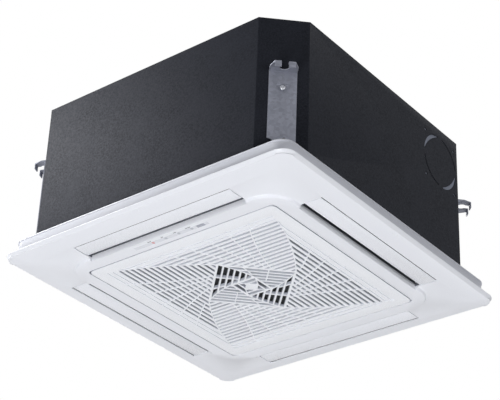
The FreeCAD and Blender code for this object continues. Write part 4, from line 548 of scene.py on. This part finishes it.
@dataclass
class CeilingPanel:
    """The square panel under the ceiling, its rim, index dots and indicator strip."""

    edge_round_mm: float = 0.8
    half_mm: float = 310.0
    corner_mm: float = 25.0
    flange_mm: float = 8.0
    flange_round_mm: float = 2.5
    flange_cut: tuple[float, float] = (2.0, 2.4)    # reach of the flat cut across and up, in roundings
    slack_mm: float = 0.01    # lets in the points that lie on the rounding's ends
    ring_half_mm: float = 231.0
    ring_corner_mm: float = 50.0
    ring_slope_mm: float = 8.05
    ring_up_mm: tuple[float, float] = (-17.99, -12.99)    # heights between which the ring's wall lies
    ring_steeper: float = 0.45    # share of the wall's packed slope that is left
    room_side_mm: float = -7.0    # edges below this height face the room
    frame_edge_mm: float = 1.5
    rim_round_mm: float = 0.4
    dot_radius_mm: float = 1.7
    dot_rise_mm: float = 0.7
    dot_offset_mm: float = 300.0
    dot_pitch_mm: float = 11.0
    insert_round_mm: float = 0.3
    insert_edge_mm: float = 3.0
    lamp_radius_mm: float = 2.0
    lens_radius_mm: float = 2.9
    lens_rise_mm: float = 0.45
    lens_shoulder: float = 0.7
    lens_steps: int = 20
    dash_mm: tuple[float, float, float, float] = (8.0, 5.0, 6.0, 11.0)    # lengths, one beside each lamp
    dash_width_mm: float = 1.4
    dash_shift_mm: float = 4.0
    dash_out_mm: float = 5.4
    dash_face_mm: tuple[float, float] = (-0.1, 0.05)    # foot and top over the height of the lamps' face
    dash_round_mm: float = 0.03
    window_mm: tuple[float, float] = (16.0, 7.0)    # length and width
    window_face_mm: tuple[float, float] = (-0.25, 0.2)    # foot and top over the same height
    window_round_mm: float = 0.2

    def build(self) -> None:
        """Make and dress the panel's pieces."""
        self.frame()
        self.rim()
        self.index_dots()
        self.indicator()

    def frame(self) -> None:
        """The moulded panel with its edges eased on the room side."""
        bm = copied("panel_frame")
        for vert in bm.verts:
            self.reshape(vert)
        bm.normal_update()
        is_long = longer_than(self.frame_edge_mm)
        soften(bm, self.edge_round_mm, 3,
               lambda edge: highest(edge) < self.room_side_mm * MM and is_long(edge))
        close_piece(bm, "panel_moulding", WHITE_ABS, "housing", ["panel_frame"])

    def reshape(self, vert: bmesh.types.BMVert) -> None:
        """Move a point of the panel so that the flange's edge is cut off flat and the ring's wall is steep.

        Args:
            vert: The point, which is moved.
        """
        rounding = self.flange_round_mm
        across, upward = self.flange_cut
        out, past = outward(vert.co, self.half_mm, self.corner_mm)
        up = vert.co.z / MM
        if past > -rounding - self.slack_mm and up < rounding - self.flange_mm + self.slack_mm:
            turn = math.atan2(past + rounding, rounding - up - self.flange_mm)
            share = min(max(turn / (math.pi / 2), 0.0), 1.0)
            vert.co += out * (-rounding * across * (1 - share) - past) * MM
            vert.co.z = (-self.flange_mm + rounding * upward * share) * MM
        out, past = outward(vert.co, self.ring_half_mm, self.ring_corner_mm)
        if self.ring_up_mm[0] < up < self.ring_up_mm[1] and 0.0 < past < self.ring_slope_mm:
            vert.co -= out * past * (1 - self.ring_steeper) * MM

    def rim(self) -> None:
        """The upstand with its lip."""
        bm = copied("panel_rim")
        soften(bm, self.rim_round_mm, 2)
        # The rim's greyer colour is painted shade.
        close_piece(bm, "panel_upstand", RIM_ABS_PAINTED_SHADE, "housing", ["panel_rim"])

    def index_dots(self) -> None:
        """One to four raised dots beside the outlets, which number them."""
        panel = copied("panel_frame")
        surface = BVHTree.FromBMesh(panel)
        panel.free()
        bm = bmesh.new()
        flat = Matrix.Diagonal((self.dot_radius_mm * MM, self.dot_radius_mm * MM, self.dot_rise_mm * MM, 1))
        for side in SIDES:
            for index in range(side):
                along = (index - (side - 1) / 2) * self.dot_pitch_mm
                plan = quarter(side) @ Vector((along * MM, -self.dot_offset_mm * MM, -1.0))
                hit, normal, _, _ = surface.ray_cast(plan, UP)
                bmesh.ops.create_uvsphere(bm, u_segments=16, v_segments=10, radius=1.0,
                                          matrix=facing(hit, normal) @ flat)
        close_piece(bm, "index_dots", WHITE_ABS, "housing")

    def indicator(self) -> None:
        """The insert on the ring: its face, lamp lenses, receiver window and printed dashes."""
        bm = copied("indicator_strip")
        soften(bm, self.insert_round_mm, 1, longer_than(self.insert_edge_mm))
        close_piece(bm, "indicator_face", GREY_ABS, "housing", ["indicator_strip"])
        low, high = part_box("indicator_lamps")
        face = low.z / MM
        middle = (low.y + high.y) / 2 / MM
        first = low.x / MM + self.lamp_radius_mm
        pitch = (high.x / MM - self.lamp_radius_mm - first) / (len(self.dash_mm) - 1)
        depth = (high.z - low.z) / MM
        shoulder = (self.lens_radius_mm * self.lens_shoulder, self.lens_rise_mm * self.lens_shoulder)
        crown = [(0.0, self.lens_rise_mm), shoulder, (self.lens_radius_mm, 0.0), (self.lamp_radius_mm, 0.0),
                 (self.lamp_radius_mm, -depth), (0.0, -depth)]
        run_lens = bmesh.new()
        lenses = bmesh.new()
        marks = bmesh.new()
        for index, length in enumerate(self.dash_mm):
            along = first + index * pitch
            down = Matrix.Translation(Vector((along, middle, face)) * MM) @ Matrix.Rotation(math.pi, 4, "X")
            lathe(lenses if index else run_lens, crown, down, self.lens_steps)
            reach = length / 2
            start = along - self.dash_shift_mm
            under, over = (face + height for height in self.dash_face_mm)
            slab(marks, (start - reach, middle - self.dash_out_mm - self.dash_width_mm, under),
                 (start + reach, middle - self.dash_out_mm, over), self.dash_round_mm)
        close_piece(run_lens, "run_lamp_lens", RED_ACRYLIC, "housing")
        close_piece(lenses, "lamp_lenses", CLEAR_ACRYLIC, "housing", ["indicator_lamps"])
        close_piece(marks, "indicator_dashes", GREY_INK, "housing")
        low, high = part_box("receiver_window")
        centre = (low.x + high.x) / 2 / MM
        window = bmesh.new()
        half_x, half_y = (width / 2 for width in self.window_mm)
        under, over = (face + height for height in self.window_face_mm)
        slab(window, (centre - half_x, middle - half_y, under), (centre + half_x, middle + half_y, over),
             self.window_round_mm)
        slab(window, (low.x / MM, low.y / MM, face), (high.x / MM, high.y / MM, high.z / MM),
             self.window_round_mm)
        close_piece(window, "receiver_lens", GREY_ACRYLIC, "housing", ["receiver_window"])


@dataclass
class Louver:
    """One outlet louver."""

    number: int
    round_mm: float = 0.4
    long_edge_mm: float = 3.0
    half_length_mm: float = 168.0
    outer_edge_mm: float = 271.5
    edge_under_mm: float = -12.0
    gap_shadow_mm: tuple[float, float] = (1.7, 1.6)    # thickness and height
    gap_shadow_inset_mm: float = 0.4
    gap_shadow_round_mm: float = 0.2

    def build(self) -> None:
        """Make the blade with rounded edges and a dark strip in its outer gap, as a painted shadow of the
        gap.
        """
        node = f"louver_{self.number}"
        bm = copied(node)
        soften(bm, self.round_mm, 2, longer_than(self.long_edge_mm))
        close_piece(bm, f"louver_blade_{self.number}", GLOSS_ABS, node, [node])
        # A dark strip stands in for the shadow in the outer gap.
        thick, high = self.gap_shadow_mm
        under = self.edge_under_mm + self.gap_shadow_inset_mm
        bm = bmesh.new()
        slab(bm, (-self.half_length_mm, -self.outer_edge_mm - thick, under),
             (self.half_length_mm, -self.outer_edge_mm, under + high), self.gap_shadow_round_mm,
             quarter(self.number))
        close_piece(bm, f"louver_gap_shadow_{self.number}", LOUVER_GAP_SHADOW, node)


@dataclass
class OutletSlotShade:
    """Grey sheets on the walls of one outlet slot, painted shade for the deep part of its walls."""

    number: int
    wall_mm: tuple[float, float] = (228.6, 274.0)    # the slot's inner and outer wall from the middle
    half_length_mm: float = 169.5
    up_mm: tuple[float, float] = (-6.8, -1.0)    # foot of the inner sheet and top of both
    end_top_mm: float = -4.0
    outer_foot_mm: float = -10.5
    thick_mm: float = 0.35
    sunk_mm: float = 0.1
    round_mm: float = 0.05

    def build(self) -> None:
        """Cover the slot's two long walls and its ends with the painted shade."""
        near, far = self.wall_mm
        reach = self.half_length_mm
        low, high = self.up_mm
        foot = self.outer_foot_mm
        through = self.thick_mm + self.sunk_mm
        blocks = [((-reach, -near - self.thick_mm, low), (reach, -near + self.sunk_mm, high)),
                  ((-reach, -far - self.sunk_mm, foot), (reach, -far + self.thick_mm, high))]
        for start in (-reach - self.sunk_mm, reach - self.thick_mm):
            blocks.append(((start, -far, foot), (start + through, -near, self.end_top_mm)))
        bm = bmesh.new()
        for lowest, top in blocks:
            slab(bm, lowest, top, self.round_mm, quarter(self.number))
        close_piece(bm, f"outlet_slot_shade_{self.number}", SLOT_WALL_SHADE, "housing")


@dataclass
class IntakeGrille:
    """The hinged intake grille with its whirl of slats."""

    round_mm: float = 0.45
    door_round_mm: float = 1.8
    frame_from_mm: float = 195.0
    room_side_mm: float = 0.5    # edges no higher than this over the face are on the room side

    def build(self) -> None:
        """Make the grille with the door's edge and the slats' room-side edges rounded."""
        bm = copied("intake_grille")
        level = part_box("intake_grille")[0].z + self.room_side_mm * MM
        soften(bm, self.round_mm, 2, lambda edge: highest(edge) < level and not self.is_rim(edge))
        soften(bm, self.door_round_mm, 4, lambda edge: highest(edge) < level and self.is_rim(edge))
        close_piece(bm, "grille_moulding", GRILLE_ABS, "grille", ["intake_grille"])

    def is_rim(self, edge: bmesh.types.BMEdge) -> bool:
        """Say whether an edge runs round the outside of the door."""
        return all(max(abs(vert.co.x), abs(vert.co.y)) > self.frame_from_mm * MM for vert in edge.verts)


@dataclass
class Casing:
    """The dark sheet casing, its lid and screws."""

    fold_mm: float = 1.0
    fold_length_mm: float = 100.0
    fold_upright: float = 0.99
    lid_round_mm: float = 0.4
    lid_edge_mm: float = 5.0
    washer_mm: float = 4.0
    flats_mm: float = 5.0
    head_mm: float = 1.8
    plate_washer_mm: float = 3.0
    plate_flats_mm: float = 4.2
    shank_mm: float = 1.6
    grip_mm: float = 2.4
    shank_steps: int = 12
    screw_inset_mm: float = 6.5
    screw_across_mm: float = 120.0
    plate_inset_mm: float = 3.5
    bead_mm: tuple[float, float] = (9.0, 1.4)    # width and height
    bead_shares: tuple[tuple[float, float], ...] = ((0.72, 0.7), (0.3, 1.0))
    bead_foot_mm: float = 0.2
    ring_mm: float = 96.0
    arm_mm: tuple[float, float] = (125.0, 315.0)    # start and end of a corner bead from the middle

    def build(self) -> None:
        """Make and dress the casing's pieces."""
        bm = copied("casing_wrap")
        soften(bm, self.fold_mm, 3, self.is_fold)
        close_piece(bm, "casing_sheet", COATED_SHEET, "housing", ["casing_wrap"])
        for name, node in (("casing_lid", "top_plate"), ("pipe_cover", "pipe_plate")):
            bm = copied(node)
            soften(bm, self.lid_round_mm, 2, longer_than(self.lid_edge_mm))
            close_piece(bm, name, COATED_SHEET, "housing", [node])
        self.screws()
        self.beads()

    def screws(self) -> None:
        """Hexagon screws on the lid and round the pipe opening."""
        bm = bmesh.new()
        low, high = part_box("top_plate")
        inset = self.screw_inset_mm * MM
        for side in SIDES:
            for across in (-self.screw_across_mm, self.screw_across_mm):
                at = quarter(side) @ Vector((across * MM, low.y + inset, high.z))
                hex_screw(bm, at, UP, self.washer_mm, self.flats_mm, self.head_mm)
                shank(bm, facing(at, UP), self.shank_mm, self.grip_mm, self.shank_steps)
        out = Vector((-1, 0, 0))
        low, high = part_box("pipe_plate")
        edge = self.plate_inset_mm * MM
        for across in (low.y + edge, high.y - edge):
            for up in (low.z + edge, high.z - edge):
                at = Vector((low.x, across, up))
                hex_screw(bm, at, out, self.plate_washer_mm, self.plate_flats_mm, self.head_mm)
                shank(bm, facing(at, out), self.shank_mm, self.grip_mm, self.shank_steps)
        close_piece(bm, "casing_hex_screws", ZINC_PLATED, "housing", ["casing_screws"])

    def beads(self) -> None:
        """Pressed stiffening beads on the lid: a ring over the fan motor and four that run to the corners."""
        bm = bmesh.new()
        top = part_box("top_plate")[1].z
        half = self.bead_mm[0] / 2
        rise = self.bead_mm[1]
        section = [(half, -self.bead_foot_mm),
                   *((half * across, rise * up) for across, up in self.bead_shares)]
        section += [(-across, up) for across, up in reversed(section)]
        lathe(bm, [(self.ring_mm + across, up) for across, up in section + section[:1]],
              Matrix.Translation((0, 0, top)), 64)
        start, end = self.arm_mm
        for side in SIDES:
            way = quarter(side) @ Matrix.Rotation(math.pi / 4, 4, "Z")
            flat = Matrix.Translation(way @ Vector(((start + end) / 2 * MM, 0, top)))
            shape = flat @ way @ Matrix.Diagonal(((end - start) / 2 * MM, half * MM, rise * MM, 1))
            bmesh.ops.create_uvsphere(bm, u_segments=32, v_segments=12, radius=1.0, matrix=shape)
        close_piece(bm, "lid_beads", COATED_SHEET, "housing")

    def is_fold(self, edge: bmesh.types.BMEdge) -> bool:
        """Say whether an edge is one of the casing's upright folds."""
        way = (edge.verts[0].co - edge.verts[1].co).normalized()
        return abs(way.z) > self.fold_upright and edge.calc_length() > self.fold_length_mm * MM


@dataclass
class HangerBracket:
    """One galvanised bracket that hangs the casing on a threaded rod."""

    number: int
    round_mm: float = 0.5
    cut_edge_mm: float = 1.5

    def build(self) -> None:
        """Make the bracket with its cut edges rounded."""
        node = f"hanger_bracket_{self.number}"
        bm = copied(node)
        soften(bm, self.round_mm, 2, longer_than(self.cut_edge_mm))
        close_piece(bm, f"hanger_{self.number}", GALVANISED, "housing", [node])


@dataclass
class BracketScrews:
    """The four round-headed screws that hold the brackets."""

    radius_mm: float = 5.0
    height_mm: float = 2.5
    socket_mm: float = 2.1
    shank_mm: float = 2.5
    grip_mm: float = 3.0
    shank_steps: int = 16
    round_sides: int = 8

    def build(self) -> None:
        """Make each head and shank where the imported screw's round end is."""
        packed = copied("bracket_screws")
        ends = [(face.calc_center_bounds(), face.normal.copy()) for face in packed.faces
                if len(face.verts) > self.round_sides and face.normal.dot(face.calc_center_bounds()) > 0]
        packed.free()
        bm = bmesh.new()
        for end, out in ends:
            seat = end - out * self.height_mm * MM
            pan_screw(bm, seat, out, self.radius_mm, self.height_mm, self.socket_mm)
            shank(bm, facing(seat, out), self.shank_mm, self.grip_mm, self.shank_steps)
        log.info("bracket screws: %d", len(ends))
        close_piece(bm, "bracket_pan_screws", ZINC_PLATED, "housing", ["bracket_screws"])


@dataclass
class Services:
    """The refrigerant unions, the drain spigot and the cable bush."""

    nut_chamfer_mm: float = 1.0
    nut_edge_mm: float = 5.0
    spigot_round_mm: float = 0.8
    barb_mm: tuple[float, float, float] = (12.0, 12.5, 13.3)    # radii of a barb's root, foot and tip
    barb_length_mm: float = 3.2
    barb_shares: tuple[float, float] = (0.75, 0.85)    # where along its length a barb peaks and ends
    barb_count: int = 3
    barb_steps: int = 40
    barb_first_mm: float = 2.0
    bush_round_mm: float = 0.9

    def build(self) -> None:
        """Make and dress what a fitter connects."""
        for name in ("gas", "liquid"):
            bm = copied(f"{name}_nut")
            soften(bm, self.nut_chamfer_mm, 2, longer_than(self.nut_edge_mm))
            close_piece(bm, f"{name}_flare_nut", BRASS, "housing", [f"{name}_nut"])
        bm = copied("drain_outlet")
        soften(bm, self.spigot_round_mm, 2)
        low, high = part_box("drain_outlet")
        root, inner, outer = self.barb_mm
        middle = (low + high) / 2
        axis = Matrix.Translation((low.x, middle.y, middle.z)) @ Matrix.Rotation(math.pi / 2, 4, "Y")
        for index in range(self.barb_count):
            start = self.barb_first_mm + index * self.barb_length_mm
            tip, end = (start + self.barb_length_mm * share for share in self.barb_shares)
            lathe(bm, [(root, start), (inner, start), (outer, tip), (inner, end), (root, end), (root, start)],
                  axis, self.barb_steps)
        close_piece(bm, "drain_barbed_spigot", WHITE_PVC, "housing", ["drain_outlet"])
        bm = copied("cable_bush")
        soften(bm, self.bush_round_mm, 3)
        close_piece(bm, "cable_grommet", RUBBER, "housing", ["cable_bush"])


@dataclass(frozen=True)
class Lamp:
    """One soft square lamp, with its place and size in metres and its power in watts."""

    name: str
    place: tuple[float, float, float]
    size: float
    power: float

    def hang(self, aim: Vector) -> None:
        """Hang the lamp where the camera can't see it.

        Args:
            aim: The point that it faces.
        """
        data = bpy.data.lights.new(self.name, "AREA")
        data.shape = "SQUARE"
        data.size = self.size
        data.energy = self.power
        lamp = bpy.data.objects.new(self.name, data)
        lamp.visible_camera = False
        place = Vector(self.place)
        turn = (aim - place).to_track_quat("-Z", "Y").to_matrix().to_4x4()
        lamp.matrix_world = Matrix.Translation(place) @ turn
        bpy.context.scene.collection.objects.link(lamp)


@dataclass
class Studio:
    """The pale floor, the soft light and the camera of the photograph, placed in metres."""

    azimuth_deg: float = 39.47
    elevation_deg: float = -30.86
    roll_deg: float = 2.44
    place: tuple[float, float, float] = (1.571, -1.923, -1.325)
    lens_mm: float = 115.4
    sensor_mm: float = 36.0
    sight: float = 200.0
    floor_drop: float = 5.0
    floor_half: float = 40.0
    sky_strength: float = 0.1
    aim: tuple[float, float, float] = (0.0, 0.0, 0.1)
    lamps: Sequence[Lamp] = field(default_factory=lambda: [
        Lamp("left_lamp", (-1.3, -0.95, 0.85), 0.9, 32.0),
        Lamp("front_lamp", (0.0, -2.8, -3.3), 1.6, 108.0),
        Lamp("left_low_lamp", (-2.8, -1.0, -3.0), 1.6, 8.0),
        Lamp("right_low_lamp", (4.0, -0.8, -1.1), 1.6, 46.0),
        Lamp("far_low_lamp", (0.0, 3.5, -3.2), 1.6, 16.0),
        Lamp("under_lamp", (-0.3, -0.5, -3.5), 2.4, 2.0),
        Lamp("back_lamp", (-2.4, 2.4, 1.5), 1.6, 50.0),
        Lamp("top_lamp", (0.4, 0.9, 3.0), 2.4, 60.0),
    ])

    def build(self) -> None:
        """Set the stage."""
        self.camera()
        self.world()
        self.floor()
        for lamp in self.lamps:
            lamp.hang(Vector(self.aim))
        bpy.context.scene.view_settings.view_transform = "Standard"

    def camera(self) -> None:
        """Stand the camera where the photograph was taken."""
        angles = (self.azimuth_deg, self.elevation_deg, self.roll_deg)
        azimuth, elevation, roll = (math.radians(angle) for angle in angles)
        back = Vector((math.sin(azimuth) * math.cos(elevation), -math.cos(azimuth) * math.cos(elevation),
                       math.sin(elevation)))
        right = (-back).cross(UP).normalized()
        up = right.cross(-back)
        across = right * math.cos(roll) + up * math.sin(roll)
        upward = up * math.cos(roll) - right * math.sin(roll)
        data = bpy.data.cameras.new("photo_camera")
        data.sensor_width = self.sensor_mm
        data.lens = self.lens_mm
        data.clip_end = self.sight
        camera = bpy.data.objects.new("photo_camera", data)
        turn = Matrix((across, upward, back)).transposed().to_4x4()
        camera.matrix_world = Matrix.Translation(Vector(self.place)) @ turn
        bpy.context.scene.collection.objects.link(camera)
        bpy.context.scene.camera = camera

    def world(self) -> None:
        """Soft light from all round, and plain white where the camera looks past the object."""
        world = bpy.data.worlds.new("studio_world")
        bpy.context.scene.world = world
        world.use_nodes = True
        tree = world.node_tree
        tree.nodes.clear()
        light = add_node(tree, "ShaderNodeBackground", inputs={
            "Color": linear(WHITE), "Strength": self.sky_strength})
        white = add_node(tree, "ShaderNodeBackground", inputs={"Color": linear(WHITE), "Strength": 1.0})
        mixed = add_node(tree, "ShaderNodeMixShader", inputs={
            0: self.seen_rays(tree), 1: light.outputs["Background"], 2: white.outputs["Background"]})
        add_node(tree, "ShaderNodeOutputWorld", inputs={"Surface": mixed.outputs["Shader"]})

    def floor(self) -> None:
        """A pale floor far below, so that the camera looks up past its edge."""
        bm = bmesh.new()
        bmesh.ops.create_grid(bm, x_segments=2, y_segments=2, size=self.floor_half,
                              matrix=Matrix.Translation((0, 0, -self.floor_drop)))
        mesh = bpy.data.meshes.new("studio_floor")
        bm.to_mesh(mesh)
        bm.free()
        floor = bpy.data.objects.new("studio_floor", mesh)
        bpy.context.scene.collection.objects.link(floor)
        floor.data.materials.append(self.floor_paint())

    def floor_paint(self) -> bpy.types.Material:
        """Pale floor paint that the camera and reflections see as the white background.

        Returns:
            The floor's material.
        """
        paint = Finish("pale_floor_paint", "#F4F4F4", "#EDEDED", 0.8, 0.05, Grain.SPECKLE, 40.0, 0.0)
        made = paint.material()
        tree = made.node_tree
        output = next(node for node in tree.nodes if node.type == "OUTPUT_MATERIAL")
        lit = output.inputs["Surface"].links[0].from_socket
        pale = add_node(tree, "ShaderNodeEmission", inputs={"Color": linear(WHITE), "Strength": 1.0})
        mixed = add_node(tree, "ShaderNodeMixShader", inputs={
            0: self.seen_rays(tree), 1: lit, 2: pale.outputs["Emission"]})
        tree.links.new(mixed.outputs["Shader"], output.inputs["Surface"])
        return made

    def seen_rays(self, tree: bpy.types.NodeTree) -> bpy.types.NodeSocket:
        """Tell the rays that look at the background from those that light the object.

        Args:
            tree: The node tree that asks.

        Returns:
            1 for a camera, glossy or transmission ray and 0 for the others.
        """
        rays = add_node(tree, "ShaderNodeLightPath")
        seen = add_node(tree, "ShaderNodeMath", {"operation": "MAXIMUM"}, {
            0: rays.outputs["Is Camera Ray"], 1: rays.outputs["Is Transmission Ray"]})
        return add_node(tree, "ShaderNodeMath", {"operation": "MAXIMUM"}, {
            0: seen.outputs["Value"], 1: rays.outputs["Is Glossy Ray"]}).outputs["Value"]


def dress_nodes() -> None:
    """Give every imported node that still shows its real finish."""
    for finish, nodes in CAD_FINISHES.items():
        for name in nodes:
            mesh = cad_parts[name].data
            mesh.materials.clear()
            mesh.materials.append(finish.material())


def main() -> None:
    """Build the pieces in order, dress the nodes and set the stage."""
    logging.basicConfig(level=logging.INFO, format="%(message)s")
    CeilingPanel().build()
    for side in SIDES:
        Louver(side).build()
        OutletSlotShade(side).build()
    IntakeGrille().build()
    Casing().build()
    for number in SIDES:
        HangerBracket(number).build()
    BracketScrews().build()
    Services().build()
    dress_nodes()
    Studio().build()


if __name__ == "__main__":
    main()
